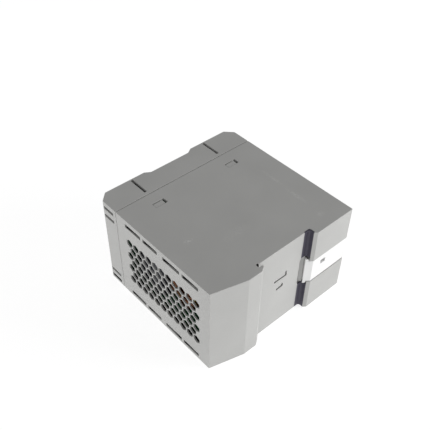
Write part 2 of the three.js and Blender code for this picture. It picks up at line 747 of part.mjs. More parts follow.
function lightPipe() {
  const centre = [LIGHT.x, LIGHT.z];
  const pipe = rodY(centre, LIGHT.radius, [LIGHT.top, LIGHT.back], 20);
  return pipe.add(rodY(centre, LIGHT_FLANGE.radius, LIGHT_FLANGE.span, 20));
}

// ---------------------------------------------------------------- components on the main board

// A standing can with a crimp groove near its base and a stepped top.
function capacitorCan({ place: [x, y], radius, height }) {
  const { depth, from, to } = CRIMP;
  const profile = [
    [0, 0],
    [radius, 0],
    [radius, from],
    [radius - depth, (from + to) / 2],
    [radius, to],
    [radius, height - depth],
    [radius - depth, height],
    [radius - 2 * depth, height],
    [radius - 2 * depth, height - depth],
    [0, height - depth],
  ].map(([r, h]) => new THREE.Vector2(r, h));
  const can = new THREE.LatheGeometry(profile, 20).rotateX(Math.PI / 2);
  return solid(can.translate(x, y, BOARD_TOP));
}

// A disc on edge across X, on two leads.
function leadedDisc({ place: [x, y], radius, thickness }) {
  const disc = rodX([y, BOARD_TOP + DISC_LIFT + radius], radius, around(x, thickness), 20);
  const height = [BOARD_TOP, BOARD_TOP + radius];
  const leads = bothSides.map((side) => rodZ([x, y + (side * radius) / 2], LEAD.round, height, 6));
  return union([disc, ...leads]);
}

// A rectangular ring of revolution, its axis along X.
function ring([x, y, z], inner, outer, width) {
  const profile = [
    [inner, -width / 2],
    [outer, -width / 2],
    [outer, width / 2],
    [inner, width / 2],
    [inner, -width / 2],
  ].map(([r, h]) => new THREE.Vector2(r, h));
  return solid(new THREE.LatheGeometry(profile, 28).rotateZ(-Math.PI / 2).translate(x, y, z));
}

// A wound ring: the core, and a sleeve of windings around it with a gap at the top and two feet.
function ringChoke({ x, y, inner, outer, width, winding }) {
  const z = BOARD_TOP + outer + 2 * winding;
  const core = ring([x, y, z], inner, outer, width);
  const sleeve = ring([x, y, z], inner - winding, outer + winding, width + 2 * winding);
  const hollow = ring([x, y, z], inner - CORE_SKIN, outer + CORE_SKIN, width + 2 * CORE_SKIN);
  const opening = block(
    around(x, width + 4 * winding),
    around(y, 1.2 * inner),
    [z, z + 2 * outer],
  );
  const feet = bothSides.map((side) =>
    rodZ([x + (side * width) / 2, y], CHOKE_FOOT, [BOARD_TOP, z - outer - CORE_SKIN - winding / 2], 8),
  );
  return { core, winding: sleeve.subtract(hollow).subtract(opening).add(union(feet)) };
}

// A plate standing on the board between two faces, with short fins on one side. It runs along X or Y.
function finnedPlate({ along, faces, finTip, top, alongX }) {
  const pitch = (along[1] - along[0] - FINS.width) / (FINS.count - 1);
  const standing = (run, across, low) =>
    alongX ? block(run, across, [low, top]) : block(across, run, [low, top]);
  const root = (faces[0] + faces[1]) / 2;
  const across = [Math.min(root, finTip), Math.max(root, finTip)];
  const comb = Array.from({ length: FINS.count }, (_, i) => {
    const at = along[0] + i * pitch;
    return standing([at, at + FINS.width], across, BOARD_TOP + FINS.lift);
  });
  return union([standing(along, faces, BOARD_TOP), ...comb]);
}

// A power package with its metal tab and three leads.
function powerPackage({ x, y, alongX }) {
  const body = block(x, y, [PACKAGE.low, PACKAGE.high]);
  const middle = [(x[0] + x[1]) / 2, (y[0] + y[1]) / 2];
  const leads = [-LEAD.pitch, 0, LEAD.pitch].map((offset) => {
    const centre = alongX ? [middle[0] + offset, middle[1]] : [middle[0], middle[1] + offset];
    const height = [BOARD_TOP, PACKAGE.low + PACKAGE.overlap];
    return block(around(centre[0], LEAD.flat), around(centre[1], LEAD.flat), height);
  });
  return union([body, ...leads]);
}

// Two E halves closed on each other: a frame with a middle leg along X.
function transformerCore() {
  const frame = block(around(CORE.x, CORE.length), around(CORE.y, CORE.width), [CORE.low, CORE.high]);
  const windowLength = CORE.length - 2 * CORE.yoke;
  const windows = bothSides.map((side) => {
    const inner = CORE.y + (side * CORE.leg) / 2;
    const outer = CORE.y + side * (CORE.width / 2 - CORE.outerLeg);
    return block(
      around(CORE.x, windowLength),
      [Math.min(inner, outer), Math.max(inner, outer)],
      [CORE.low - OVER, CORE.high + OVER],
    );
  });
  return frame.subtract(union(windows));
}

function transformerWinding() {
  const length = CORE.length - 2 * CORE.yoke - 2 * BOBBIN.end;
  const width = CORE.width - 2 * CORE.outerLeg - 2 * BOBBIN.side;
  const middle = (BOARD_TOP + BOBBIN.high) / 2;
  const outline = roundedRectangle(CORE.y, middle, width / 2, BOBBIN.high - middle, BOBBIN.corner);
  const leg = block(
    around(CORE.x, CORE.length),
    around(CORE.y, CORE.leg + 2 * BOBBIN.legGap),
    [CORE.low - BOBBIN.legGap, CORE.high + BOBBIN.legGap],
  );
  return prismX(outline, around(CORE.x, length), 4).subtract(leg);
}

// A tube between two caps, each held by a clip.
function fuse() {
  const centre = [FUSE.x, BOARD_TOP + FUSE.lift];
  const [from, to] = FUSE.span;
  const { radius, length, clip, margin } = FUSE_CAP;
  const capSpans = [[from, from + length], [to - length, to]];
  const caps = capSpans.map((span) => rodY(centre, radius, span, 16));
  const clips = capSpans.map(([start, end]) =>
    block(around(FUSE.x, clip), [start + margin, end - margin], [BOARD_TOP, centre[1]]),
  );
  return union([rodY(centre, FUSE.radius, FUSE.span, 16), ...caps, ...clips]);
}

// ---------------------------------------------------------------- assembly

add("housing", "housing", housing());
add("front_cover", "housing", frontCover());
add("label_plate", "label", labelPlate());
add("rail_latch", "latch", railLatch());
add("latch_spring", "steel", latchSpring());
add("latch_guide", "guide", latchGuide());
add("rail_pad_upper", "pad", railPad([LATCH_Z + GUIDE.halfWidth + GAP, WIDTH - PAD_INSET]));
add("rail_pad_lower", "pad", railPad([PAD_INSET, LATCH_Z - GUIDE.halfWidth - GAP]));

add("main_board", "board", mainBoard());
add("front_board", "board", frontBoard());
add("board_header", "epoxy", boardHeader());
for (const terminal of TERMINALS) {
  add(`${terminal.name}_terminal_block`, "terminal", terminalBlock(terminal));
  terminal.poles.forEach((z, i) => {
    add(`${terminal.name}_screw_${i + 1}`, "steel", terminalScrew(terminal.side, z));
    add(`${terminal.name}_clamp_${i + 1}`, "tinned", wireClamp(terminal.side, z));
  });
}
add("adjuster_body", "trimmer", adjusterBody());
add("adjuster_rotor", "latch", adjusterRotor());
add("status_led", "latch", statusLed());
add("light_pipe", "lightPipe", lightPipe());

const lineChoke = ringChoke(LINE_CHOKE);
const outputChoke = ringChoke(OUTPUT_CHOKE);
add("fuse", "glass", fuse());
add("inrush_thermistor", "board", leadedDisc(THERMISTOR));
add("varistor", "blueEpoxy", leadedDisc(VARISTOR));
add("x_capacitor", "film", block(X_CAPACITOR.x, X_CAPACITOR.y, [BOARD_TOP, X_CAPACITOR.top]));
add("line_choke_core", "ferrite", lineChoke.core);
add("line_choke_winding", "copper", lineChoke.winding);
add("bridge_rectifier", "epoxy", block(RECTIFIER.x, RECTIFIER.y, [BOARD_TOP, RECTIFIER.top]));
add("bulk_capacitor", "sleeve", capacitorCan(BULK_CAPACITOR));
add("primary_heatsink", "aluminium", finnedPlate(PRIMARY_HEATSINK));
add("power_transistor", "epoxy", powerPackage(TRANSISTOR));
add("transformer_core", "ferrite", transformerCore());
add("transformer_winding", "tape", transformerWinding());
add("y_capacitor", "blueEpoxy", leadedDisc(Y_CAPACITOR));
const optocouplerHeight = [BOARD_TOP, BOARD_TOP + OPTOCOUPLER.height];
add("optocoupler", "epoxy", block(OPTOCOUPLER.x, OPTOCOUPLER.y, optocouplerHeight));
add("secondary_heatsink", "aluminium", finnedPlate(SECONDARY_HEATSINK));
add("output_rectifier", "epoxy", powerPackage(OUTPUT_RECTIFIER));
add("output_choke_core", "ironPowder", outputChoke.core);
add("output_choke_winding", "copper", outputChoke.winding);
OUTPUT_CAPACITORS.forEach((can, i) => add(`output_capacitor_${i + 1}`, "sleeve", capacitorCan(can)));

export default device;
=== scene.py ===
"""Looks of a compact power supply module for a 35 mm rail, lying on its side panel.

Blender units are metres. +X is the device's top (hook side), -Y its front with the terminals,
+Y its rear with the rail seat, and +Z its width.
"""
import json
import math

import bmesh
import bpy
from mathutils import Matrix, Vector

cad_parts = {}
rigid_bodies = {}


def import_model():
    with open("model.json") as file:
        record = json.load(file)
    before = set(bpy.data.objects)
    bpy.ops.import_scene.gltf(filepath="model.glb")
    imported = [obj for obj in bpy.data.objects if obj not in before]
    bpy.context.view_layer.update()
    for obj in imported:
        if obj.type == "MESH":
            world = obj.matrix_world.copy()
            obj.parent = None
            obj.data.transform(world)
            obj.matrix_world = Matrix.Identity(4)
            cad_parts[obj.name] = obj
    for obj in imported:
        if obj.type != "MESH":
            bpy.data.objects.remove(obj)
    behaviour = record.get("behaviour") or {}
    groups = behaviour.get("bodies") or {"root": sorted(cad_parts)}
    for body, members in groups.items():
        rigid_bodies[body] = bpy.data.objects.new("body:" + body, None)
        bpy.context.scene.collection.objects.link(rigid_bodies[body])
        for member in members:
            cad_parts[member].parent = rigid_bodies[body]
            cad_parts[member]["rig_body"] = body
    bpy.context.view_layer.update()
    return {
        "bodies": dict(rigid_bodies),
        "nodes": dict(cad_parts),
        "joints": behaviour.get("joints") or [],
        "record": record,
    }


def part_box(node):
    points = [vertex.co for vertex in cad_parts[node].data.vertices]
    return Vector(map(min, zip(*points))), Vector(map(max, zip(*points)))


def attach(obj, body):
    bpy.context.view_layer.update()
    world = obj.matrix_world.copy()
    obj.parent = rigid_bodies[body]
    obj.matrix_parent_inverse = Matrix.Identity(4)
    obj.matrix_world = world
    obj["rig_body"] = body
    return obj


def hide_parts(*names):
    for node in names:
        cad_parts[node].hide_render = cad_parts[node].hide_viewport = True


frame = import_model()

MM = 0.001
NODES = frame["nodes"]

# ------------------------------------------------------------------ camera, floor and light

CAMERA_POSITION = Vector((163.2, 172.5, 267.1)) * MM
CAMERA_TARGET = Vector((-12.58, -20.54, 25.0)) * MM
CAMERA_ROLL = math.radians(0.9)
SENSOR = 36  # millimetres
LENS = 53.4  # millimetres
FLOOR_SIZE = 3  # half a side, in metres
FLOOR_DROP = 0.05 * MM
FLOOR_GREY = (0.42, 0.42, 0.42, 1)
FLOOR_GLOW = 0.8
WORLD_LIGHT = 0.4
WHITE = (1, 1, 1, 1)
LIGHT_AIM = Vector((0, 0, 0.025))


def add_camera():
    data = bpy.data.cameras.new("camera")
    data.sensor_width = SENSOR
    data.lens = LENS
    data.clip_start = 0.01
    data.clip_end = 20
    camera = bpy.data.objects.new("camera", data)
    bpy.context.scene.collection.objects.link(camera)
    aim = (CAMERA_TARGET - CAMERA_POSITION).to_track_quat("-Z", "Y").to_matrix().to_4x4()
    camera.matrix_world = Matrix.Translation(CAMERA_POSITION) @ aim @ Matrix.Rotation(CAMERA_ROLL, 4, "Z")
    bpy.context.scene.camera = camera


def add_floor():
    """A plain pale sheet that glows a little, as the floor of a light tent does."""
    bm = bmesh.new()
    bmesh.ops.create_grid(bm, x_segments=1, y_segments=1, size=FLOOR_SIZE)
    floor = mesh_object("floor", bm)
    floor.location.z = -FLOOR_DROP
    material, shader, _ = new_material("floor_paper")
    shader.inputs["Base Color"].default_value = FLOOR_GREY
    shader.inputs["Roughness"].default_value = 0.95
    shader.inputs["Emission Color"].default_value = WHITE
    shader.inputs["Emission Strength"].default_value = FLOOR_GLOW
    floor.data.materials.append(material)


# name, position, size and power of each soft box; they all aim at the middle of the device
SOFT_BOXES = [
    ("rear_box", (-0.62, 0.68, 0.2), 0.5, 4.6),
    ("end_box", (0.85, -0.25, 0.16), 0.5, 1.3),
]


def add_lights():
    bpy.context.scene.view_settings.view_transform = "Standard"
    world = bpy.data.worlds.new("tent")
    world.use_nodes = True
    background = world.node_tree.nodes["Background"]
    background.inputs["Color"].default_value = WHITE
    seen = world.node_tree.nodes.new("ShaderNodeLightPath").outputs["Is Camera Ray"]
    brightness = world.node_tree.nodes.new("ShaderNodeMapRange")
    brightness.inputs["To Min"].default_value = WORLD_LIGHT
    brightness.inputs["To Max"].default_value = 1.0
    world.node_tree.links.new(seen, brightness.inputs["Value"])
    world.node_tree.links.new(brightness.outputs["Result"], background.inputs["Strength"])
    bpy.context.scene.world = world
    for name, position, size, power in SOFT_BOXES:
        data = bpy.data.lights.new(name, "AREA")
        data.shape = "SQUARE"
        data.size = size
        data.energy = power
        light = bpy.data.objects.new(name, data)
        light.location = position
        light.rotation_euler = (LIGHT_AIM - light.location).to_track_quat("-Z", "Y").to_euler()
        bpy.context.scene.collection.objects.link(light)


# ------------------------------------------------------------------ mesh helpers

ARC = [math.radians(step * 30) for step in range(4)]  # a quarter circle in three steps
IN_SPACE = {
    "X": lambda a, b, h: (h, a, b),
    "Y": lambda a, b, h: (a, h, b),
    "Z": lambda a, b, h: (a, b, h),
}
OVER = 1.0  # how far a cutter reaches past the face it cuts, in millimetres


def mesh_object(name, bm, smooth_angle=None):
    """A new object from a bmesh, shaded smooth below an angle if one is given."""
    mesh = bpy.data.meshes.new(name)
    bm.to_mesh(mesh)
    bm.free()
    piece = bpy.data.objects.new(name, mesh)
    bpy.context.scene.collection.objects.link(piece)
    if smooth_angle is not None:
        soften(piece, smooth_angle)
    return piece


def soften(piece, angle=40):
    """Smooth shading that leaves broad flat faces flat."""
    piece.data.shade_smooth()
    piece.data.set_sharp_from_angle(angle=math.radians(angle))
    weighted = piece.modifiers.new("weighted", "WEIGHTED_NORMAL")
    weighted.keep_sharp = True
    weighted.weight = 100
    return piece


def rectangle(a, b):
    return [(a[0], b[0]), (a[1], b[0]), (a[1], b[1]), (a[0], b[1])]


def around(middle, size):
    return (middle - size / 2, middle + size / 2)


def circle(centre, radius, sides=32):
    turn = 2 * math.pi / sides
    turns = [i * turn for i in range(sides)]
    return [(centre[0] + radius * math.cos(t), centre[1] + radius * math.sin(t)) for t in turns]


def fillet(outline, radius):
    """The outline, run anticlockwise, with its corners rounded."""
    rounded = []
    count = len(outline)
    for i, corner in enumerate(outline):
        point = Vector(corner[:2])
        before = Vector(outline[i - 1][:2]) - point
        after = Vector(outline[(i + 1) % count][:2]) - point
        half = before.angle(after) / 2
        own = corner[2] if len(corner) > 2 else radius
        if own == 0 or half > math.radians(88):
            rounded.append(tuple(point))
            continue
        own = min(own, 0.45 * min(before.length, after.length) * math.tan(half))
        u, v = before.normalized(), after.normalized()
        centre = point + (u + v).normalized() * (own / math.sin(half))
        start = point + u * (own / math.tan(half)) - centre
        end = point + v * (own / math.tan(half)) - centre
        steps = max(2, round(math.degrees(start.angle(end)) / 24))
        for k in range(steps + 1):
            arm = start.lerp(end, k / steps).normalized() * own
            rounded.append(tuple(centre + arm))
    return rounded


def signed_area(outline):
    return sum(p[0] * q[1] - q[0] * p[1] for p, q in zip(outline, outline[1:] + outline[:1])) / 2


def grown(outline, distance):
    """The outline moved outwards by a small distance."""
    if distance == 0:
        return outline
    moved = []
    count = len(outline)
    for i in range(count):
        point = Vector(outline[i])
        u = (point - Vector(outline[i - 1])).normalized()
        v = (Vector(outline[(i + 1) % count]) - point).normalized()
        m = Vector((u.y, -u.x))
        n = Vector((v.y, -v.x))
        moved.append(tuple(point + (m + n) * (distance / (1 + m.dot(n)))))
    return moved


def stack(outline, axis, sections, name="body"):
    """A closed body through copies of an outline, each at a height and grown by a distance."""
    if signed_area(outline) < 0:
        outline = outline[::-1]
    bm = bmesh.new()
    rings = []
    for height, growth in sections:
        ring = grown(outline, growth)
        rings.append([bm.verts.new(Vector(IN_SPACE[axis](a, b, height)) * MM) for a, b in ring])
    for lower, upper in zip(rings, rings[1:]):
        for i in range(len(outline)):
            bm.faces.new((lower[i - 1], lower[i], upper[i], upper[i - 1]))
    bm.faces.new(rings[0])
    bm.faces.new(rings[-1])
    bmesh.ops.recalc_face_normals(bm, faces=bm.faces)
    return mesh_object(name, bm)


def prism(outline, axis, span, rim=0.0, name="body"):
    """A prism whose two end rims are rounded."""
    low, high = sorted(span)
    if rim == 0:
        return stack(outline, axis, [(low, 0), (high, 0)], name)
    foot = [(low + rim * (1 - math.cos(t)), -rim * (1 - math.sin(t))) for t in ARC]
    head = [(low + high - height, growth) for height, growth in reversed(foot)]
    return stack(outline, axis, foot + head, name)


def mouth(face, direction, flare):
    """Sections of a hole from outside a face to just inside it, with a rounded rim."""
    outside = [(face + direction * OVER, flare)]
    return outside + [(face - direction * flare * (1 - math.cos(t)), flare * (1 - math.sin(t))) for t in ARC]


def pit(outline, axis, face, floor, flare=0.15):
    """A cutter for a hole that starts at a face and ends at a floor."""
    direction = 1 if face > floor else -1
    return stack(outline, axis, mouth(face, direction, flare) + [(floor, 0)])


def tunnel(outline, axis, low, high, flare=0.15):
    """A cutter for a hole between two faces, rounded at both."""
    return stack(outline, axis, mouth(low, -1, flare) + mouth(high, 1, flare)[::-1])


def cut(piece, cutters, operation="DIFFERENCE"):
    """Booleans the cutters with the piece and removes them."""
    group = bpy.data.collections.new("operands")
    for cutter in cutters:
        group.objects.link(cutter)
    modifier = piece.modifiers.new("boolean", "BOOLEAN")
    modifier.operation = operation
    modifier.operand_type = "COLLECTION"
    modifier.collection = group
    modifier.solver = "EXACT"
    graph = bpy.context.evaluated_depsgraph_get()
    made = bpy.data.meshes.new_from_object(piece.evaluated_get(graph))
    piece.modifiers.remove(modifier)
    old, piece.data = piece.data, made
    bpy.data.meshes.remove(old)
    for cutter in cutters:
        bpy.data.objects.remove(cutter)
    bpy.data.collections.remove(group)
    return piece


def joined(pieces, name):
    """Several bodies as one object of well-shaped triangles."""
    bm = bmesh.new()
    for piece in pieces:
        bm.from_mesh(piece.data)
        bpy.data.objects.remove(piece)
    bmesh.ops.dissolve_degenerate(bm, edges=bm.edges, dist=0.001 * MM)
    bmesh.ops.triangulate(bm, faces=bm.faces, quad_method="BEAUTY", ngon_method="BEAUTY")
    return mesh_object(name, bm)


def inside(outline, x, y):
    """Whether a point lies inside an outline."""
    crossings = 0
    for (x0, y0), (x1, y1) in zip(outline, outline[1:] + outline[:1]):
        if (y0 > y) != (y1 > y) and x < x0 + (y - y0) * (x1 - x0) / (y1 - y0):
            crossings += 1
    return crossings % 2 == 1


TILTED = 0.995  # a face is tilted if no axis of its normal passes this
INNER_LEVELS = (1.2, 54.3)  # Z between the side panels


def mark_wear_highlight_and_shade(piece, painted_shade_outlines=(), width=0.3):
    """Marks the narrow faces of rounded edges, which are paler as rubbed wear and as a painted highlight,
    and the faces inside the given outlines between the side panels, which are painted near-black as shade.
    """
    bm = bmesh.new()
    bm.from_mesh(piece.data)
    wear_and_highlight = bm.faces.layers.float.new("wear_and_highlight")
    inner = bm.faces.layers.float.new("inner")
    for face in bm.faces:
        narrow = min(edge.calc_length() for edge in face.edges) < width * MM
        tilted = max(abs(axis) for axis in face.normal) < TILTED
        # narrow tilted faces are marked for rubbed wear and a painted edge highlight
        face[wear_and_highlight] = 1.0 if narrow and tilted else 0.0
        x, y, z = face.calc_center_median() / MM
        # faces between the side panels and inside these outlines are marked inner, for painted shade
        painted_shade = INNER_LEVELS[0] < z < INNER_LEVELS[1] and any(inside(cavity, x, y) for cavity in painted_shade_outlines)
        face[inner] = 1.0 if painted_shade else 0.0
    bm.to_mesh(piece.data)
    bm.free()
    return piece


SHOWN = {"latch_spring"}  # nodes that need no further piece
SLOT_OF = {row["node"]: row["material_slot"] for row in frame["record"]["subparts"]}


def stand_in(piece, node):
    """The piece takes a CAD node's place, its body, its material and its material slot."""
    piece.name = "shown_" + node
    SHOWN.add(node)
    piece.data.materials.clear()
    piece.data.materials.append(MATERIALS[SLOT_OF[node]])
    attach(piece, NODES[node]["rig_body"])
    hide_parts(node)
    return piece


def rounded_node(node, width=0.15, segments=2, angle=30):
    """A CAD node rebuilt with rounded edges."""
    bm = bmesh.new()
    bm.from_mesh(NODES[node].data)
    bmesh.ops.remove_doubles(bm, verts=bm.verts, dist=0.002 * MM)
    bmesh.ops.dissolve_limit(bm, angle_limit=math.radians(0.6), verts=bm.verts, edges=bm.edges)
    edges = [
        edge
        for edge in bm.edges
        if len(edge.link_faces) == 2 and edge.calc_face_angle(0) > math.radians(angle)
    ]
    bmesh.ops.bevel(
        bm, geom=edges, offset=width * MM, segments=segments, profile=0.5, affect="EDGES", clamp_overlap=True
    )
    return stand_in(mark_wear_highlight_and_shade(mesh_object("rounded", bm, 40)), node)


# ------------------------------------------------------------------ material helpers


def new_material(name):
    material = bpy.data.materials.new(name)
    material.use_nodes = True
    tree = material.node_tree
    return material, tree.nodes["Principled BSDF"], tree


class Graph:
    """Short calls that add nodes to a material's tree."""

    def __init__(self, tree):
        self.tree = tree
        self.place = self.add("ShaderNodeTexCoord").outputs["Object"]

    def add(self, kind, **settings):
        node = self.tree.nodes.new(kind)
        for key, value in settings.items():
            setattr(node, key, value)
        return node

    def link(self, source, target):
        if hasattr(source, "is_output"):
            self.tree.links.new(source, target)
        else:
            target.default_value = source
        return target

    def stretched(self, scale):
        node = self.add("ShaderNodeMapping")
        self.link(self.place, node.inputs["Vector"])
        node.inputs["Scale"].default_value = scale
        return node.outputs["Vector"]

    def noise(self, scale, detail=3.0, roughness=0.5, vector=None, distortion=0.0):
        node = self.add("ShaderNodeTexNoise")
        self.link(vector or self.place, node.inputs["Vector"])
        node.inputs["Scale"].default_value = scale
        node.inputs["Detail"].default_value = detail
        node.inputs["Roughness"].default_value = roughness
        node.inputs["Distortion"].default_value = distortion
        return node.outputs["Fac"]

    def cells(self, scale, feature="F1", vector=None):
        node = self.add("ShaderNodeTexVoronoi", feature=feature)
        self.link(vector or self.place, node.inputs["Vector"])
        node.inputs["Scale"].default_value = scale
        return node.outputs["Distance"]

    def math(self, operation, a, b=0.0, clamp=False):
        node = self.add("ShaderNodeMath", operation=operation, use_clamp=clamp)
        self.link(a, node.inputs[0])
        self.link(b, node.inputs[1])
        return node.outputs[0]

    def remap(self, value, low, high, to_low=0.0, to_high=1.0):
        node = self.add("ShaderNodeMapRange", clamp=True)
        self.link(value, node.inputs["Value"])
        for key, number in zip(("From Min", "From Max", "To Min", "To Max"), (low, high, to_low, to_high)):
            self.link(number, node.inputs[key])
        return node.outputs["Result"]

    def mix(self, factor, a, b):
        node = self.add("ShaderNodeMix", data_type="RGBA")
        self.link(factor, node.inputs["Factor"])
        self.link(a, node.inputs["A"])
        self.link(b, node.inputs["B"])
        return node.outputs["Result"]

    def bump(self, height, distance, strength=1.0, normal=None):
        node = self.add("ShaderNodeBump")
        node.inputs["Strength"].default_value = strength
        node.inputs["Distance"].default_value = distance
        self.link(height, node.inputs["Height"])
        if normal is not None:
            self.link(normal, node.inputs["Normal"])
        return node.outputs["Normal"]

    def smudge(self, centre, size, strength):
        """A soft broken patch around a point in millimetres, of a size along X, Y and Z."""
        node = self.add("ShaderNodeMapping", vector_type="TEXTURE")
        self.link(self.place, node.inputs["Vector"])
        node.inputs["Location"].default_value = Vector(centre) * MM
        node.inputs["Scale"].default_value = Vector(size) * MM
        length = self.add("ShaderNodeVectorMath", operation="LENGTH")
        self.link(node.outputs["Vector"], length.inputs[0])
        patch = self.remap(length.outputs["Value"], 0.2, 1.0, strength, 0.0)
        return self.math("MULTIPLY", patch, self.remap(self.noise(1200, detail=3), 0.42, 0.62))

    def attribute(self, name):
        node = self.add("ShaderNodeAttribute", attribute_name=name)
        return node.outputs["Fac"]


def rgba(colour, factor=1.0):
    return (*(min(1.0, c * factor) for c in colour), 1.0)


# ------------------------------------------------------------------ materials


# painted shade: the near-black colour given to faces marked inner, inside the housing and cover and in the
# hook's relief hole
PAINTED_INSIDE_SHADE = (0.008, 0.008, 0.01)
COPPER = ((0.16, 0.055, 0.022), (0.3, 0.115, 0.04))
TAPE_YELLOW = ((0.62, 0.47, 0.05), (0.78, 0.63, 0.1))
SLEEVE_DARK = ((0.012, 0.014, 0.02), (0.02, 0.024, 0.034))
SLEEVE_STRIPE = (0.35, 0.36, 0.38)
BOARD_GREEN = ((0.012, 0.085, 0.035), (0.02, 0.15, 0.06))
BOARD_WEAVE = (0.02, 0.12, 0.03)
PAD_TIN = (0.55, 0.55, 0.52)
LABEL_GREY = ((0.64, 0.65, 0.64), (0.67, 0.68, 0.67))


def moulded_plastic(
    name, colour, roughness=0.55, grain=2600, depth=0.02 * MM, wear_and_highlight=0.25, scuffs=0.2, marks=()
):
    """Spark-eroded moulded plastic: fine grain, faint clouding, hairline scuffs, edges paler as rubbed wear
    and as a painted highlight, and inside faces painted near-black as shade.
    """
    material, shader, tree = new_material(name)
    g = Graph(tree)
    tone = g.mix(g.remap(g.noise(38, detail=4), 0.3, 0.7), rgba(colour, 0.965), rgba(colour, 1.035))
    specks = g.remap(g.noise(900, detail=2), 0.72, 0.8, 0.0, 0.25)
    tone = g.mix(specks, tone, rgba(colour, 0.8))
    streaks = g.noise(240, detail=2, vector=g.stretched((1.0, 0.06, 1.0)))
    tone = g.mix(g.remap(streaks, 0.73, 0.8, 0.0, scuffs), tone, rgba(colour, 1.25))
    for centre, size, strength in marks:
        tone = g.mix(g.smudge(centre, size, strength), tone, rgba(colour, 1.3))
    # rounded edges are lightened, partly as real rubbed wear and partly as a painted edge highlight
    rubbed_and_highlit = g.math("MULTIPLY", g.attribute("wear_and_highlight"), g.remap(g.noise(420), 0.45, 0.7, 0.1, wear_and_highlight))
    tone = g.mix(rubbed_and_highlit, tone, rgba(colour, 1.35))
    # painted shade: faces marked inner are turned nearly black
    tone = g.mix(g.math("MULTIPLY", g.attribute("inner"), 0.94), tone, rgba(PAINTED_INSIDE_SHADE))
    g.link(tone, shader.inputs["Base Color"])
    sheen = g.remap(g.noise(420, detail=4), 0.3, 0.7, roughness - 0.03, roughness + 0.03)
    g.link(sheen, shader.inputs["Roughness"])
    height = g.math("ADD", g.noise(grain, detail=2), g.math("MULTIPLY", g.noise(grain / 3, detail=1), 0.6))
    g.link(g.bump(height, depth), shader.inputs["Normal"])
    return material


def plated_metal(name, colour, roughness=0.32, brushed=(1.0, 1.0, 1.0), scale=700, depth=0.01 * MM):
    """Metal with a fine drawn or plated surface, dulled in patches."""
    material, shader, tree = new_material(name)
    g = Graph(tree)
    shader.inputs["Metallic"].default_value = 1.0
    lines = g.noise(scale, detail=3, vector=g.stretched(brushed))
    stains = g.noise(150, detail=5)
    tone = g.mix(g.remap(stains, 0.35, 0.7), rgba(colour, 0.86), rgba(colour, 1.05))
    g.link(g.mix(g.remap(lines, 0.3, 0.7, 0.0, 0.4), tone, rgba(colour, 0.8)), shader.inputs["Base Color"])
    dulled = g.remap(stains, 0.3, 0.7, -0.05, 0.1)
    sheen = g.remap(lines, 0.3, 0.7, roughness, roughness + 0.12)
    g.link(g.math("ADD", dulled, sheen), shader.inputs["Roughness"])
    g.link(g.bump(lines, depth), shader.inputs["Normal"])
    return material


def coated(name, colour, dark, scale, roughness, depth, gloss=0.0):
    """A grained or dipped surface, such as ceramic, ferrite or epoxy, under an optional clear film."""
    material, shader, tree = new_material(name)
    g = Graph(tree)
    grains = g.cells(scale)
    mottle = g.noise(scale / 6, detail=4)
    tone = g.mix(g.remap(mottle, 0.35, 0.68), rgba(dark), rgba(colour))
    g.link(g.mix(g.remap(grains, 0.1, 0.5, 0.35, 0.0), tone, rgba(dark)), shader.inputs["Base Color"])
    g.link(g.remap(mottle, 0.3, 0.7, roughness - 0.08, roughness + 0.08), shader.inputs["Roughness"])
    g.link(g.bump(g.math("ADD", grains, mottle), depth), shader.inputs["Normal"])
    shader.inputs["Coat Weight"].default_value = gloss
    shader.inputs["Coat Roughness"].default_value = 0.12
    return material


def enamelled_copper(name):
    material, shader, tree = new_material(name)
    g = Graph(tree)
    tint = g.noise(260, detail=3)
    dark, light = COPPER
    g.link(g.mix(g.remap(tint, 0.3, 0.7), rgba(dark), rgba(light)), shader.inputs["Base Color"])
    shader.inputs["Metallic"].default_value = 0.85
    g.link(g.remap(tint, 0.3, 0.7, 0.28, 0.4), shader.inputs["Roughness"])
    shader.inputs["Coat Weight"].default_value = 0.7
    shader.inputs["Coat Roughness"].default_value = 0.15
    return material


def wound_tape(name):
    """Polyester tape in overlapping turns, with a faint weave of wrinkles."""
    material, shader, tree = new_material(name)
    g = Graph(tree)
    lap = g.noise(420, detail=1, vector=g.stretched((0.05, 0.05, 1.0)))
    wrinkles = g.noise(700, detail=4)
    dark, light = TAPE_YELLOW
    g.link(g.mix(g.remap(lap, 0.4, 0.6), rgba(dark), rgba(light)), shader.inputs["Base Color"])
    g.link(g.remap(wrinkles, 0.3, 0.7, 0.28, 0.45), shader.inputs["Roughness"])
    height = g.math("ADD", g.remap(lap, 0.45, 0.55), g.math("MULTIPLY", wrinkles, 0.4))
    g.link(g.bump(height, 0.03 * MM), shader.inputs["Normal"])
    return material


def shrink_sleeve(name):
    """Dark sleeving with a pale band of minus marks down one side."""
    material, shader, tree = new_material(name)
    g = Graph(tree)
    place = g.add("ShaderNodeSeparateXYZ")
    g.link(g.place, place.inputs["Vector"])
    band = g.remap(g.noise(60, detail=0, vector=g.stretched((1.0, 1.0, 0.0))), 0.6, 0.62)
    dashes = g.remap(g.math("PINGPONG", place.outputs["Z"], 2.5 * MM), 1.0 * MM, 1.1 * MM)
    mottle = g.remap(g.noise(300, detail=3), 0.3, 0.7)
    dark = g.mix(mottle, rgba(SLEEVE_DARK[0]), rgba(SLEEVE_DARK[1]))
    stripe = g.mix(dashes, rgba(SLEEVE_STRIPE), dark)
    g.link(g.mix(band, dark, stripe), shader.inputs["Base Color"])
    g.link(g.remap(g.noise(900, detail=2), 0.3, 0.7, 0.22, 0.34), shader.inputs["Roughness"])
    g.link(g.bump(g.noise(500, detail=3), 0.015 * MM), shader.inputs["Normal"])
    return material


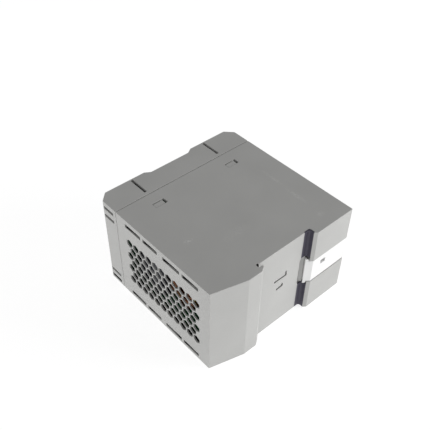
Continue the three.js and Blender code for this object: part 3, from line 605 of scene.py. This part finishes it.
def circuit_board(name):
    """Green solder mask over tracks and pads."""
    material, shader, tree = new_material(name)
    g = Graph(tree)
    tracks = g.add("ShaderNodeTexBrick")
    g.link(g.place, tracks.inputs["Vector"])
    tracks.inputs["Scale"].default_value = 260
    tracks.inputs["Mortar Size"].default_value = 0.12
    tracks.inputs["Mortar Smooth"].default_value = 0.2
    track = tracks.outputs["Fac"]
    pads = g.remap(g.cells(330), 0.16, 0.18, 1.0, 0.0)
    mask = g.mix(track, rgba(BOARD_GREEN[0]), rgba(BOARD_GREEN[1]))
    weave = g.noise(1500, detail=1, vector=g.stretched((1.0, 0.1, 1.0)))
    mask = g.mix(g.remap(weave, 0.4, 0.6, 0.0, 0.3), mask, rgba(BOARD_WEAVE))
    g.link(g.mix(pads, mask, rgba(PAD_TIN)), shader.inputs["Base Color"])
    g.link(pads, shader.inputs["Metallic"])
    g.link(g.remap(weave, 0.3, 0.7, 0.25, 0.4), shader.inputs["Roughness"])
    g.link(g.bump(g.math("ADD", track, pads), 0.03 * MM), shader.inputs["Normal"])
    return material


def printed_label(name):
    """Blank polyester with a fine surface."""
    material, shader, tree = new_material(name)
    g = Graph(tree)
    mottle = g.noise(260, detail=5)
    dark, light = LABEL_GREY
    g.link(g.mix(g.remap(mottle, 0.3, 0.7), rgba(dark), rgba(light)), shader.inputs["Base Color"])
    g.link(g.remap(g.noise(800, detail=3), 0.3, 0.7, 0.3, 0.42), shader.inputs["Roughness"])
    g.link(g.bump(g.noise(3500, detail=2), 0.006 * MM), shader.inputs["Normal"])
    return material


def clear_resin(name, colour, transmission, roughness):
    material, shader, tree = new_material(name)
    g = Graph(tree)
    haze = g.noise(500, detail=3)
    g.link(g.mix(g.remap(haze, 0.3, 0.7), rgba(colour, 0.9), rgba(colour, 1.0)), shader.inputs["Base Color"])
    g.link(g.remap(haze, 0.3, 0.7, roughness, roughness + 0.12), shader.inputs["Roughness"])
    shader.inputs["Transmission Weight"].default_value = transmission
    shader.inputs["IOR"].default_value = 1.49
    return material


HOUSING_GREY = (0.5, 0.5, 0.488)

# centre and size in millimetres, and strength, of the pale rubbed patches on the side panel
SCUFFS = [
    ((31, 9, 55.5), (3.2, 1.6, 1), 0.9),
    ((-31, 20, 55.5), (1.6, 9, 1), 0.5),
    ((-32, 2, 55.5), (1.4, 10, 1), 0.45),
    ((-30, 37, 55.5), (3.0, 1.8, 1), 0.6),
    ((10, 20, 55.5), (9, 4, 1), 0.25),
]

# colour and further settings of each plastic
PLASTICS = {
    "housing_plastic": (HOUSING_GREY, {"marks": SCUFFS}),
    "cover_plastic": (HOUSING_GREY, {}),
    "guide_plastic": ((0.52, 0.52, 0.51), {"wear_and_highlight": 0.1}),
    "latch_plastic": (
        (0.93, 0.93, 0.925),
        {"roughness": 0.4, "depth": 0.006 * MM, "wear_and_highlight": 0.0, "scuffs": 0.0},
    ),
    "pad_rubber": ((0.06, 0.055, 0.082), {"roughness": 0.6, "grain": 1500, "wear_and_highlight": 0.1}),
    "terminal_plastic": ((0.03, 0.032, 0.036), {"roughness": 0.5, "wear_and_highlight": 0.1}),
    "trimmer_plastic": ((0.02, 0.11, 0.42), {"roughness": 0.4, "depth": 0.01 * MM, "wear_and_highlight": 0.1}),
}

# colour and roughness of each metal; the heatsinks are brushed along Z
METALS = {
    "spring_steel": ((0.6, 0.58, 0.55), 0.28),
    "screw_steel": ((0.72, 0.71, 0.68), 0.3),
    "clamp_steel": ((0.7, 0.68, 0.6), 0.36),
    "heatsink_aluminium": ((0.78, 0.79, 0.8), 0.36, (1.0, 1.0, 0.04), 1600),
}

# light colour, dark colour, scale, roughness, relief in millimetres and gloss of each coated surface
COATINGS = {
    "fuse_ceramic": ((0.75, 0.73, 0.67), (0.6, 0.58, 0.52), 2400, 0.4, 0.006, 0.0),
    "thermistor_ceramic": ((0.025, 0.035, 0.028), (0.01, 0.013, 0.011), 1800, 0.5, 0.02, 0.0),
    "blue_resin": ((0.03, 0.09, 0.36), (0.02, 0.055, 0.24), 900, 0.35, 0.012, 0.5),
    "film_case": ((0.6, 0.42, 0.07), (0.5, 0.33, 0.05), 1100, 0.4, 0.01, 0.2),
    "ferrite": ((0.035, 0.035, 0.038), (0.012, 0.012, 0.014), 2600, 0.55, 0.02, 0.0),
    "iron_powder": ((0.62, 0.56, 0.1), (0.5, 0.43, 0.07), 1700, 0.5, 0.02, 0.3),
    "black_resin": ((0.022, 0.022, 0.024), (0.012, 0.012, 0.013), 2800, 0.5, 0.01, 0.0),
}

# colour, transmission and roughness of each clear resin
RESINS = {
    "led_resin": ((0.35, 0.8, 0.3), 0.3, 0.15),
    "clear_pipe": ((0.78, 0.82, 0.78), 0.35, 0.1),
}

# the makers of the materials that are one of a kind
MAKERS = {
    "label": printed_label,
    "board_laminate": circuit_board,
    "copper_wire": enamelled_copper,
    "winding_tape": wound_tape,
    "capacitor_sleeve": shrink_sleeve,
}


def make_materials():
    """Every material, by the name of its slot."""
    made = {name: moulded_plastic(name, colour, **look) for name, (colour, look) in PLASTICS.items()}
    made |= {name: plated_metal(name, *look) for name, look in METALS.items()}
    for name, (light, dark, scale, roughness, relief, gloss) in COATINGS.items():
        made[name] = coated(name, light, dark, scale, roughness, relief * MM, gloss)
    made |= {name: clear_resin(name, *look) for name, look in RESINS.items()}
    made |= {name: maker(name) for name, maker in MAKERS.items()}
    return made


# ------------------------------------------------------------------ housing, in millimetres

WIDTH = 55.5
END = 45.0  # X of the top end; the bottom end is at -END
INNER_END = 43.4
REAR = 45.25
FRONT = -45.25
MIDDLE = WIDTH / 2
PANEL = 1.5  # thickness of the side panels
SEAM = -29.75  # Y where the cover meets the housing
SEAM_GAP = 0.3
RIM = 0.25  # radius of the outer edges
BOTH_SIDES = (-1, 1)

# outlines along X and Y; a third number is the radius of that corner
SEAT = 41.05
GROOVE_WALL = -17.76
BODY_PROFILE = [
    (-END, SEAM, 0.3),
    (END, SEAM, 0.3),
    (END, 40.0),
    (26.1, REAR),
    (18.05, REAR, 0.35),
    (15.3, 43.4, 0.3),
    (15.3, 42.5, 0.3),
    (17.7, 42.5, 0.3),
    (17.7, SEAT, 0.5),
    (GROOVE_WALL, SEAT, 0.4),
    (GROOVE_WALL, 43.95, 0.4),
    (-19.4, REAR, 0.5),
    (-END, REAR, 0.5),
]
LINER_POCKET = [
    (-18.56, 40.25, 1.3),
    (-14.35, 40.25, 0.2),
    (-14.35, 41.3),
    (-17.5, 41.3),
    (-17.5, 43.9),
    (-18.56, 43.9),
]
INNER_REAR = 39.0
BODY_CAVITY = [
    (-INNER_END, -31),
    (INNER_END, -31),
    (INNER_END, INNER_REAR),
    (-11.5, INNER_REAR),
    (-11.5, 35.3),
    (-INNER_END, 35.3),
]
RELIEF = (17.0, 41.0)
RELIEF_RADIUS = 0.7

HEX_PITCH = 5.08
HEX_FLATS = 4.45
HEX_ROWS = 7
HEX_LONG_ROW = 11
HEX_CENTRE_Y = 5.45
GRILLE_Y = (-23.6, 34.5)
GRILLE_Z = (11.9, 43.6)
GRILLE_INNER = 44.2  # X of the wall's inside around the honeycomb
SLOT_SPANS = [(-22.4, -10.1), (-8.3, 2.8), (6.9, 19.2), (20.9, 32.4)]
SLOT_LEVELS = (2.9, 51.8)
SLOT_HEIGHT = 2.2
WINDOW_X = 24.3
WINDOW_Y = -20.8
WINDOW_LENGTH = 7.3
WINDOW_WIDTH = 3.5

LATCH_Z = 28.0
CHANNEL_WIDTH = 15.2
CHANNEL_FLOOR = 37.7
CHANNEL_END = -17.6
FOOT_WIDTH = 17.2
FOOT_TOP = 39.5
NOSE_ROOM_WIDTH = 18.2
NOSE_ROOM_FROM = -23.3
NOSE_ROOM_ROOF = 43.65
GAP = 0.15  # around the guide tab
TAB_OUTLINE = [(-17.6, 18.7, 0.0), (-13.9, 18.7, 2.0), (-13.9, 37.3, 2.0), (-17.6, 37.3, 0.0)]
POST_X = (-39, -37.5)
POST_Y = (36.7, 42.3)
POST_WIDTH = 4.6
RIB_Y = (-27, 34)
RIB_LEVELS = (5.7, 8.7)
RIB_HEIGHT = 1.2
RIB_INNER = 40.4

# openings in the rail seat, outlines along X and Z
SEAT_SLOT = [(-4.7, 32.7), (4.0, 32.7), (4.0, 33.9), (-3.5, 33.9), (-3.5, 36.1), (-4.7, 36.1)]
SEAT_CRANK = [(-2.7, 28.6), (-2.7, 26.55), (1.9, 25.9), (1.9, 27.2), (-1.4, 27.85), (-1.4, 28.6)]


def honeycomb_cutters():
    corner = HEX_FLATS / math.sqrt(3)
    turns = [math.radians(60 * k + 90) for k in range(6)]
    cutters = []
    for row in range(HEX_ROWS):
        count = HEX_LONG_ROW - row % 2
        z = MIDDLE + (row - (HEX_ROWS - 1) / 2) * HEX_PITCH * math.sqrt(3) / 2
        for i in range(count):
            y = HEX_CENTRE_Y + (i - (count - 1) / 2) * HEX_PITCH
            hexagon = [(y + corner * math.cos(t), z + corner * math.sin(t)) for t in turns]
            cutters.append(tunnel(fillet(hexagon, 0.4), "X", -END, END, 0.06))
    return cutters


def vent_slot_cutters():
    return [
        tunnel(fillet(rectangle(span, around(z, SLOT_HEIGHT)), 0.4), "X", -END, END, 0.08)
        for z in SLOT_LEVELS
        for span in SLOT_SPANS
    ]


def window_cutters():
    cutters = []
    for side in BOTH_SIDES:
        window = rectangle(around(side * WINDOW_X, WINDOW_LENGTH), around(WINDOW_Y, WINDOW_WIDTH))
        cutters.append(tunnel(fillet(window, 0.25), "Z", 0, WIDTH, 0.12))
    return cutters


def channel_cutters():
    """The latch channel, open at the rear and at the bottom end."""
    width = around(LATCH_Z, CHANNEL_WIDTH)
    past_end, past_rear = -END - 3, REAR + 3
    from_rear = pit(rectangle((past_end, CHANNEL_END), width), "Y", REAR, CHANNEL_FLOOR, 0.2)
    from_end = pit(rectangle((CHANNEL_FLOOR, past_rear), width), "X", -END, CHANNEL_END, 0.2)
    foot_face = rectangle((CHANNEL_FLOOR, FOOT_TOP), around(LATCH_Z, FOOT_WIDTH))
    foot = pit(foot_face, "X", -END, CHANNEL_END, 0.15)
    room = rectangle((NOSE_ROOM_FROM, CHANNEL_END), around(LATCH_Z, NOSE_ROOM_WIDTH))
    nose_room = prism(room, "Y", (CHANNEL_FLOOR, NOSE_ROOM_ROOF))
    tab = [
        (x + (GAP if x > CHANNEL_END else 0), z + math.copysign(GAP, z - LATCH_Z), radius)
        for x, z, radius in TAB_OUTLINE
    ]
    tab_seat = pit(fillet(tab, 0), "Y", SEAT, CHANNEL_FLOOR, 0.1)
    return [from_rear, from_end, foot, nose_room, tab_seat]


def seat_opening_cutters():
    """A slot bent like an L and a short cranked one, through the rear wall."""
    floor = INNER_REAR - OVER
    return [pit(fillet(outline, 0.2), "Y", SEAT, floor, 0.05) for outline in (SEAT_SLOT, SEAT_CRANK)]


def board_ribs():
    return [
        prism(rectangle(span, (low, low + RIB_HEIGHT)), "Y", RIB_Y, 0.15)
        for span in ((RIB_INNER, GRILLE_INNER), (-GRILLE_INNER, -RIB_INNER))
        for low in RIB_LEVELS
    ]


def housing():
    body = prism(fillet(BODY_PROFILE, 0.4), "Z", (0, WIDTH), RIM)
    cavity = prism(BODY_CAVITY, "Z", (PANEL, WIDTH - PANEL))
    liner = prism(fillet(LINER_POCKET, 0), "Z", (-OVER, WIDTH + OVER))
    grille_pocket = prism(rectangle(GRILLE_Y, GRILLE_Z), "X", (-GRILLE_INNER, GRILLE_INNER))
    relief = tunnel(circle(RELIEF, RELIEF_RADIUS, 16), "Z", 0, WIDTH, 0.1)
    rooms = [cavity, grille_pocket, liner, relief]
    cut(body, rooms + window_cutters() + channel_cutters() + seat_opening_cutters())
    cut(body, honeycomb_cutters() + vent_slot_cutters())
    post = prism(fillet(rectangle(POST_X, around(LATCH_Z, POST_WIDTH)), 0.4), "Y", POST_Y, 0.2)
    # the housing's inside and the hook's relief hole get painted shade
    painted_shade = [grown(BODY_CAVITY, 0.85), circle(RELIEF, RELIEF_RADIUS + 0.1, 16)]
    whole = soften(joined([body, post, *board_ribs()], "housing"))
    return stand_in(mark_wear_highlight_and_shade(whole, painted_shade), "housing")


# ------------------------------------------------------------------ front cover

RECESS_Y = -43.25
COVER_OUTLINE = [
    (-END, SEAM - SEAM_GAP, 0.3),
    (-END, -40.75, 0.6),
    (-40.5, FRONT, 0.6),
    (-15.9, FRONT),
    (-12.7, RECESS_Y),
    (12.7, RECESS_Y),
    (15.9, FRONT),
    (40.5, FRONT, 0.6),
    (END, -40.75, 0.6),
    (END, SEAM - SEAM_GAP, 0.3),
]
COVER_CAVITY = [
    (-INNER_END, -28.5),
    (-INNER_END, -40.09),
    (-39.84, -43.65),
    (-16.35, -43.65),
    (-13.15, -41.65),
    (13.15, -41.65),
    (16.35, -43.65),
    (39.84, -43.65),
    (INNER_END, -40.09),
    (INNER_END, -28.5),
]
COVER_INSIDE = -42  # past the inside of the front wall
SLIT_X = 24.5
SLIT_WIDTH = 1.5
SLIT_Y = (-44.5, -32.1)
COVER_SLOT_Y = (-40.4, -32.2)
COVER_SLOT_LEVELS = (2.4, 7.0, 46.5, 51.7)
COVER_SLOT_HEIGHT = 1.9
SKIRT_SIZE = (86.4, 52.1)
SKIRT_WALL = 1.0
SKIRT_Y = (-32.1, -27.55)
ARM_Y = (-32.1, -17.8)
TONGUE_Y = (-22.0, -19.15)
TONGUE_LENGTH = 5.65
ARM_FACES = ((1.7, 3.0, 0.1), (53.8, 52.5, 55.4))  # Z of an arm's outside, its inside and the tongue's face

# terminals: the side of the device and the Z of each pole
POLES = {"input": (-1, (17.59, 27.75, 37.91)), "output": (1, (12.51, 22.67, 32.83, 42.99))}
SCREW_X = 30.8
SCREW_OPENING = 3.15
ENTRY_X = 36.9
ENTRY_SIDE = 3.8
ADJUSTER = (20.1, 15)
LIGHT = (20.1, 40.5)


def terminal_opening_cutters():
    cutters = []
    for side, levels in POLES.values():
        for z in levels:
            cutters.append(pit(circle((side * SCREW_X, z), SCREW_OPENING), "Y", FRONT, COVER_INSIDE, 0.25))
            entry = rectangle(around(side * ENTRY_X, ENTRY_SIDE), around(z, ENTRY_SIDE))
            cutters.append(pit(fillet(entry, 0.5), "Y", FRONT, COVER_INSIDE, 0.45))
    return cutters


def cover_cutters():
    slits = [
        tunnel(fillet(rectangle(around(side * SLIT_X, SLIT_WIDTH), SLIT_Y), 0.3), "Z", 0, WIDTH, 0.12)
        for side in BOTH_SIDES
    ]
    slots = [
        tunnel(fillet(rectangle(COVER_SLOT_Y, around(z, COVER_SLOT_HEIGHT)), 0.4), "X", -END, END, 0.15)
        for z in COVER_SLOT_LEVELS
    ]
    adjuster = pit(circle(ADJUSTER, 2.4), "Y", FRONT, COVER_INSIDE, 0.25)
    light = pit(circle(LIGHT, 1.6, 24), "Y", FRONT, COVER_INSIDE, 0.15)
    return slits + slots + terminal_opening_cutters() + [adjuster, light]


def skirt():
    """The ring that steps into the housing's mouth."""
    length, height = SKIRT_SIZE
    outline = fillet(rectangle(around(0, length), around(MIDDLE, height)), 0.4)
    room = rectangle(around(0, length - 2 * SKIRT_WALL), around(MIDDLE, height - 2 * SKIRT_WALL))
    return cut(prism(outline, "Y", SKIRT_Y, 0.2), [prism(room, "Y", (-34, -26))])


def snap_arms():
    """Arms inside the side panels, with the tongues that fill most of the windows."""
    arms = []
    for side in BOTH_SIDES:
        end = side * WINDOW_X + 3.5
        span = (end - TONGUE_LENGTH, end)
        for outer, inner, face in ARM_FACES:
            arms.append(prism(rectangle(span, sorted((outer, inner))), "Y", ARM_Y, 0.15))
            arms.append(prism(fillet(rectangle(span, TONGUE_Y), 0.15), "Z", (face, inner), 0.08))
    return arms


def front_cover():
    shell = prism(fillet(COVER_OUTLINE, 0.5), "Z", (0, WIDTH), RIM)
    cut(shell, [prism(COVER_CAVITY, "Z", (PANEL, WIDTH - PANEL))])
    cut(shell, cover_cutters())
    whole = soften(joined([shell, skirt(), *snap_arms()], "cover"))
    # the cover's inside faces get painted shade
    return stand_in(mark_wear_highlight_and_shade(whole, [grown(COVER_CAVITY[::-1], 0.1)]), "front_cover")


# ------------------------------------------------------------------ small pieces


def lathe(profile, axis, centre, sides=40, name="turned"):
    """A turned body; the profile's radii and heights run along the axis, and radius 0 is on it."""
    bm = bmesh.new()
    rings = []
    for radius, height in profile:
        ring = circle(centre, radius, sides) if radius > 0 else [centre]
        rings.append([bm.verts.new(Vector(IN_SPACE[axis](a, b, height)) * MM) for a, b in ring])
    for lower, upper in zip(rings, rings[1:]):
        for i in range(sides):
            foot = lower if len(lower) == 1 else [lower[i - 1], lower[i]]
            head = upper if len(upper) == 1 else [upper[i], upper[i - 1]]
            bm.faces.new(foot + head)
    bmesh.ops.recalc_face_normals(bm, faces=bm.faces)
    return mesh_object(name, bm)


def wire(points, radius, name="wire"):
    """A round wire through points in millimetres."""
    curve = bpy.data.curves.new(name, "CURVE")
    curve.dimensions = "3D"
    curve.bevel_depth = radius * MM
    curve.bevel_resolution = 2
    curve.use_fill_caps = True
    spline = curve.splines.new("POLY")
    spline.points.add(len(points) - 1)
    for target, point in zip(spline.points, points):
        target.co = (*(Vector(point) * MM), 1)
    carrier = bpy.data.objects.new(name, curve)
    bpy.context.scene.collection.objects.link(carrier)
    graph = bpy.context.evaluated_depsgraph_get()
    mesh = bpy.data.meshes.new_from_object(carrier.evaluated_get(graph))
    bpy.data.objects.remove(carrier)
    piece = bpy.data.objects.new(name, mesh)
    bpy.context.scene.collection.objects.link(piece)
    return piece


def size_of(node):
    """Lowest corner, highest corner and middle of a CAD node, in millimetres."""
    low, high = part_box(node)
    low, high = Vector(low) / MM, Vector(high) / MM
    return low, high, [(a + b) / 2 for a, b in zip(low, high)]


def extra(piece, name, host, slot):
    """A further piece of a CAD node's body, in a material of its own."""
    piece.name = name
    piece.data.materials.clear()
    piece.data.materials.append(MATERIALS[slot])
    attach(piece, NODES[host]["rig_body"])


BLOCK_X = (26.3, 39.7)
BLOCK_FACE = -43.4
BLOCK_REAR = -31.5
BLOCK_MARGIN = 4.58  # from the outer poles to the block's ends
SCREW_RECESS = 3.1  # radius of the recess around a screw's head
SCREW_RECESS_FLOOR = -42.2
SCREW_BORE = 1.7
SCREW_BORE_Y = (-43, -33.6)
ENTRY_FLOOR = -36.4
CLAMP_ROOM = 5.1
CLAMP_ROOM_Y = (-41.6, -36.15)


def pole_cutters(side, level):
    screw = (side * SCREW_X, level)
    room = rectangle(around(side * ENTRY_X, CLAMP_ROOM), around(level, CLAMP_ROOM))
    entry = rectangle(around(side * ENTRY_X, ENTRY_SIDE), around(level, ENTRY_SIDE))
    return [
        pit(circle(screw, SCREW_RECESS, 32), "Y", BLOCK_FACE, SCREW_RECESS_FLOOR, 0.15),
        prism(circle(screw, SCREW_BORE, 20), "Y", SCREW_BORE_Y),
        pit(fillet(entry, 0.4), "Y", BLOCK_FACE, ENTRY_FLOOR, 0.25),
        prism(room, "Y", CLAMP_ROOM_Y),
    ]


def terminal_block(kind):
    side, levels = POLES[kind]
    x = sorted(side * edge for edge in BLOCK_X)
    z = (levels[0] - BLOCK_MARGIN, levels[-1] + BLOCK_MARGIN)
    body = prism(fillet(rectangle(x, z), 0.5), "Y", (BLOCK_FACE, BLOCK_REAR), 0.3)
    cut(body, [cutter for level in levels for cutter in pole_cutters(side, level)])
    stand_in(mark_wear_highlight_and_shade(soften(joined([body], kind))), kind + "_terminal_block")


# radius and Y along a terminal screw
SCREW_FACE = -44.5
SCREW_HEAD = [
    (0, SCREW_FACE),
    (2.1, SCREW_FACE),
    (2.5, -44.38),
    (2.72, -44.1),
    (2.8, -43.7),
    (2.8, -42.75),
    (2.7, -42.6),
]
SCREW_TIP = [(1.1, -34.2), (0, -34.0)]
THREAD_ROOT = 1.25
THREAD_CREST = 1.5
THREAD_START = -42.5
THREAD_LEAD = 0.3  # from the neck to the first crest
THREAD_PITCH = 0.5
THREAD_TURNS = 16
SLOT_FLOOR = -43.6
CROSS_FLOOR = -43.4
HEART_FLOOR = -43.1


def terminal_screw(node):
    """A screw with a slot, a cross and a drawn thread."""
    x, _, z = size_of(node)[2]
    thread = [(THREAD_ROOT, THREAD_START)]
    for turn in range(THREAD_TURNS):
        crest = THREAD_START + THREAD_LEAD + turn * THREAD_PITCH
        thread += [(THREAD_CREST, crest), (THREAD_ROOT, crest + THREAD_PITCH / 2)]
    body = lathe(SCREW_HEAD + thread + SCREW_TIP, "Y", (x, z))
    slot = pit(rectangle(around(x, 0.8), around(z, 7)), "Y", SCREW_FACE, SLOT_FLOOR, 0.08)
    cross = pit(fillet(rectangle(around(x, 3.6), around(z, 0.8)), 0.15), "Y", SCREW_FACE, CROSS_FLOOR, 0.08)
    heart = pit(circle((x, z), 0.9, 16), "Y", SCREW_FACE, HEART_FLOOR, 0.1)
    cut(body, [slot, cross, heart])
    stand_in(soften(joined([body], node), 35), node)


CLAMP_SIDE = 4.6
CLAMP_OPENING = 3.2


def wire_clamp(node):
    low, high, (x, _, z) = size_of(node)
    outside = rectangle(around(x, CLAMP_SIDE), around(z, CLAMP_SIDE))
    opening = rectangle(around(x, CLAMP_OPENING), around(z, CLAMP_OPENING))
    body = prism(fillet(outside, 0.6), "Y", (low.y, high.y), 0.15)
    cut(body, [tunnel(fillet(opening, 0.4), "Y", low.y, high.y, 0.12)])
    stand_in(soften(joined([body], node)), node)


# radius and Y along the trimmer's rotor
ROTOR_FACE = -44.6
ROTOR_PROFILE = [
    (0, ROTOR_FACE),
    (1.75, ROTOR_FACE),
    (2.0, -44.5),
    (2.1, -44.25),
    (2.1, -40.8),
    (2.0, -40.6),
    (1.2, -40.6),
    (1.2, -38.5),
    (1.1, -38.4),
    (0, -38.4),
]
ROTOR_POINTER = [(20.8, 14.6), (21.75, 15), (20.8, 15.4)]


def adjuster_rotor():
    x, z = ADJUSTER
    body = lathe(ROTOR_PROFILE, "Y", ADJUSTER)
    slot = pit(rectangle(around(x, 0.8), around(z, 5)), "Y", ROTOR_FACE, -43.7, 0.08)
    pointer = pit(ROTOR_POINTER, "Y", ROTOR_FACE, -44.3, 0.05)
    cut(body, [slot, pointer])
    stand_in(soften(joined([body], "rotor")), "adjuster_rotor")


PIPE_RADIUS = 1.5
PIPE_DOME = -44.75  # Y where the dome starts
PIPE_DOME_HEIGHT = 0.35
PIPE_COLLAR = [
    (1.5, -43.5),
    (1.6, -43.4),
    (2.2, -43.4),
    (2.3, -43.3),
    (2.3, -42.5),
    (2.2, -42.4),
    (1.5, -42.3),
]
PIPE_END = [(1.5, -36.3), (1.4, -36.2), (0, -36.2)]


def light_pipe():
    turns = [math.radians(15 * k) for k in range(1, 7)]
    dome = [(PIPE_RADIUS * math.sin(t), PIPE_DOME - PIPE_DOME_HEIGHT * math.cos(t)) for t in turns]
    profile = [(0, PIPE_DOME - PIPE_DOME_HEIGHT), *dome, *PIPE_COLLAR, *PIPE_END]
    stand_in(soften(lathe(profile, "Y", LIGHT, 32)), "light_pipe")


def label_plate():
    """A plate with a fine sunk line around its field."""
    low, high, _ = size_of("label_plate")

    def border(inset, radius):
        return fillet(rectangle((low.x + inset, high.x - inset), (low.z + inset, high.z - inset)), radius)

    face = (around(0, high.x - low.x), (low.z, high.z))
    plate = prism(fillet(rectangle(*face), 1.0), "Y", (low.y, high.y), 0.1)
    frame = prism(border(1, 0.6), "Y", (low.y - 1, low.y + 0.06))
    field = prism(border(1.3, 0.4), "Y", (-50, -40))
    cut(plate, [cut(frame, [field])])
    stand_in(soften(joined([plate], "label")), "label_plate")


SLEEVE_EDGE = 0.5  # radius of the sleeve's rolled edge and depth of its crease
LID_INSET = 1.0


def capacitor(node):
    """A sleeved can with a crease near its base and a scored lid."""
    low, high, (x, y, _) = size_of(node)
    radius, base, top = (high.x - low.x) / 2, low.z, high.z
    crease = [
        (radius - SLEEVE_EDGE * math.sin(math.radians(22.5 * k)), base + 2.2 + 0.15 * k) for k in range(9)
    ]
    crown = [
        (radius - SLEEVE_EDGE + SLEEVE_EDGE * math.cos(t), top - SLEEVE_EDGE + SLEEVE_EDGE * math.sin(t))
        for t in ARC
    ]
    rim = radius - LID_INSET
    profile = [(0, base), (radius - 0.3, base), (radius, base + 0.3), *crease, *crown]
    profile += [(radius - 0.9, top - 0.08), (rim, top - 0.3), (0, top - 0.3)]
    stand_in(soften(lathe(profile, "Z", (x, y), 56), 60), node)
    lid = lathe([(0, top - 0.6), (rim, top - 0.6), (rim, top - 0.28), (0, top - 0.24)], "Z", (x, y), 48)
    arm = radius * 1.1
    scores = [
        pit(rectangle(around(x, a), around(y, b)), "Z", top - 0.2, top - 0.42, 0.02)
        for a, b in ((arm, 0.5), (0.5, arm))
    ]
    lid = soften(joined([cut(lid, scores)], "lid"))
    extra(lid, "lid_" + node, node, "heatsink_aluminium")


LEAD_RADIUS = 0.35


def leaded_disc(node):
    """A dipped disc with two wires down to the board."""
    low, high, (x, y, _) = size_of(node)
    radius, half = (high.y - low.y) / 2, (high.x - low.x) / 2
    z = high.z - radius
    turns = [math.radians(18 * k) for k in range(-5, 6)]
    edge = [(radius - half * 0.5 * (1 - math.cos(t)), x + half * math.sin(t)) for t in turns]
    disc = lathe([(0, x - half), *edge, (0, x + half)], "X", (y, z), 48)
    stand_in(soften(joined([disc], node), 60), node)
    for k, side in enumerate(BOTH_SIDES):
        foot, bent = y + side * radius / 2, x + side * 0.4
        points = [(x, foot, low.z), (x, foot, low.z + 1), (bent, foot, low.z + 1.8), (x, foot, z - 1)]
        extra(soften(wire(points, LEAD_RADIUS), 60), f"lead_{k}_{node}", node, "clamp_steel")


FUSE_TUBE = 2.5
FUSE_CAP = 2.8
FUSE_CAP_LENGTH = 5


def fuse():
    low, high, (x, _, _) = size_of("fuse")
    centre = (x, high.z - FUSE_CAP)
    front, rear = low.y + 0.4, high.y - 0.4
    tube = [(0, front), (FUSE_TUBE, front), (FUSE_TUBE, rear), (0, rear)]
    stand_in(soften(lathe(tube, "Y", centre)), "fuse")
    for k, start in enumerate((low.y, high.y - FUSE_CAP_LENGTH)):
        end = start + FUSE_CAP_LENGTH
        side = [(FUSE_TUBE, start), (FUSE_CAP, start + 0.3), (FUSE_CAP, end - 0.3), (FUSE_TUBE, end)]
        cap = lathe([(0, start), *side, (0, end)], "Y", centre)
        base = fillet(rectangle(around(x, 3), (start + 1, end - 1)), 0.3)
        foot = prism(base, "Z", (low.z, centre[1]), 0.1)
        extra(soften(joined([cap, foot], "cap")), f"fuse_cap_{k}", "fuse", "clamp_steel")


CORE_HOLE = {"line_choke_core": 4.4, "output_choke_core": 5.0}  # radius
TURN_GAP = 0.1  # between the wire and its core
TURN_STEPS = 20
SQUARENESS = 0.45  # the power that makes a round turn follow the core's square section
OPEN_ANGLE = 42  # degrees from the top to the first turn, on each side


def ring_core(node):
    low, high, (_, y, z) = size_of(node)
    outer, inner = (high.y - low.y) / 2, CORE_HOLE[node]
    section = [(inner, low.x), (outer, low.x), (outer, high.x), (inner, high.x)]
    outline = fillet(section, 0.9)
    stand_in(soften(lathe([*outline, outline[0]], "X", (y, z), 56), 60), node)
    return (y, z), inner, outer, (low.x, high.x)


def squared(value):
    return math.copysign(abs(value) ** SQUARENESS, value)


def ring_winding(node, core, wire_radius, turns):
    """Turns of wire around a ring core, with a gap at the top and two ends down to the board."""
    (y, z), inner, outer, (x0, x1) = ring_core(core)
    middle, reach = (inner + outer) / 2, (outer - inner) / 2 + wire_radius + TURN_GAP
    centre_x, half = (x0 + x1) / 2, (x1 - x0) / 2 + wire_radius + TURN_GAP
    steps = turns * TURN_STEPS
    points = []
    for i in range(steps + 1):
        turn = 2 * math.pi * i / TURN_STEPS
        radius = middle + reach * squared(math.cos(turn))
        angle = math.radians(90 + OPEN_ANGLE + (360 - 2 * OPEN_ANGLE) * i / steps)
        x = centre_x + half * squared(math.sin(turn))
        points.append((x, y + radius * math.cos(angle), z + radius * math.sin(angle)))
    coils = [wire(points, wire_radius)]
    base = size_of(node)[0].z
    for side in BOTH_SIDES:
        x = centre_x + side * half
        coils.append(wire([(x, y, z - middle), (x, y, base)], wire_radius))
    stand_in(soften(joined(coils, node), 60), node)


def spring():
    """The coil keeps its CAD shape, made rounder."""
    coil = NODES["latch_spring"]
    coil.data.materials.clear()
    coil.data.materials.append(MATERIALS[SLOT_OF["latch_spring"]])
    weld = coil.modifiers.new("weld", "WELD")
    weld.merge_threshold = 0.001 * MM
    rounder = coil.modifiers.new("rounder", "SUBSURF")
    rounder.levels = rounder.render_levels = 1


# ------------------------------------------------------------------ assembly

MATERIALS = make_materials()
CANS = ("bulk_capacitor", "output_capacitor_1", "output_capacitor_2")
DISCS = ("inrush_thermistor", "varistor", "y_capacitor")

add_camera()
add_floor()
add_lights()

housing()
front_cover()
label_plate()
for kind in POLES:
    terminal_block(kind)
adjuster_rotor()
light_pipe()
fuse()
ring_winding("line_choke_winding", "line_choke_core", 0.5, 17)
ring_winding("output_choke_winding", "output_choke_core", 0.55, 18)
spring()
for node in NODES:
    if node in SHOWN:
        continue
    if "_screw_" in node:
        terminal_screw(node)
    elif "_clamp_" in node:
        wire_clamp(node)
    elif node in CANS:
        capacitor(node)
    elif node in DISCS:
        leaded_disc(node)
    else:
        rounded_node(node)
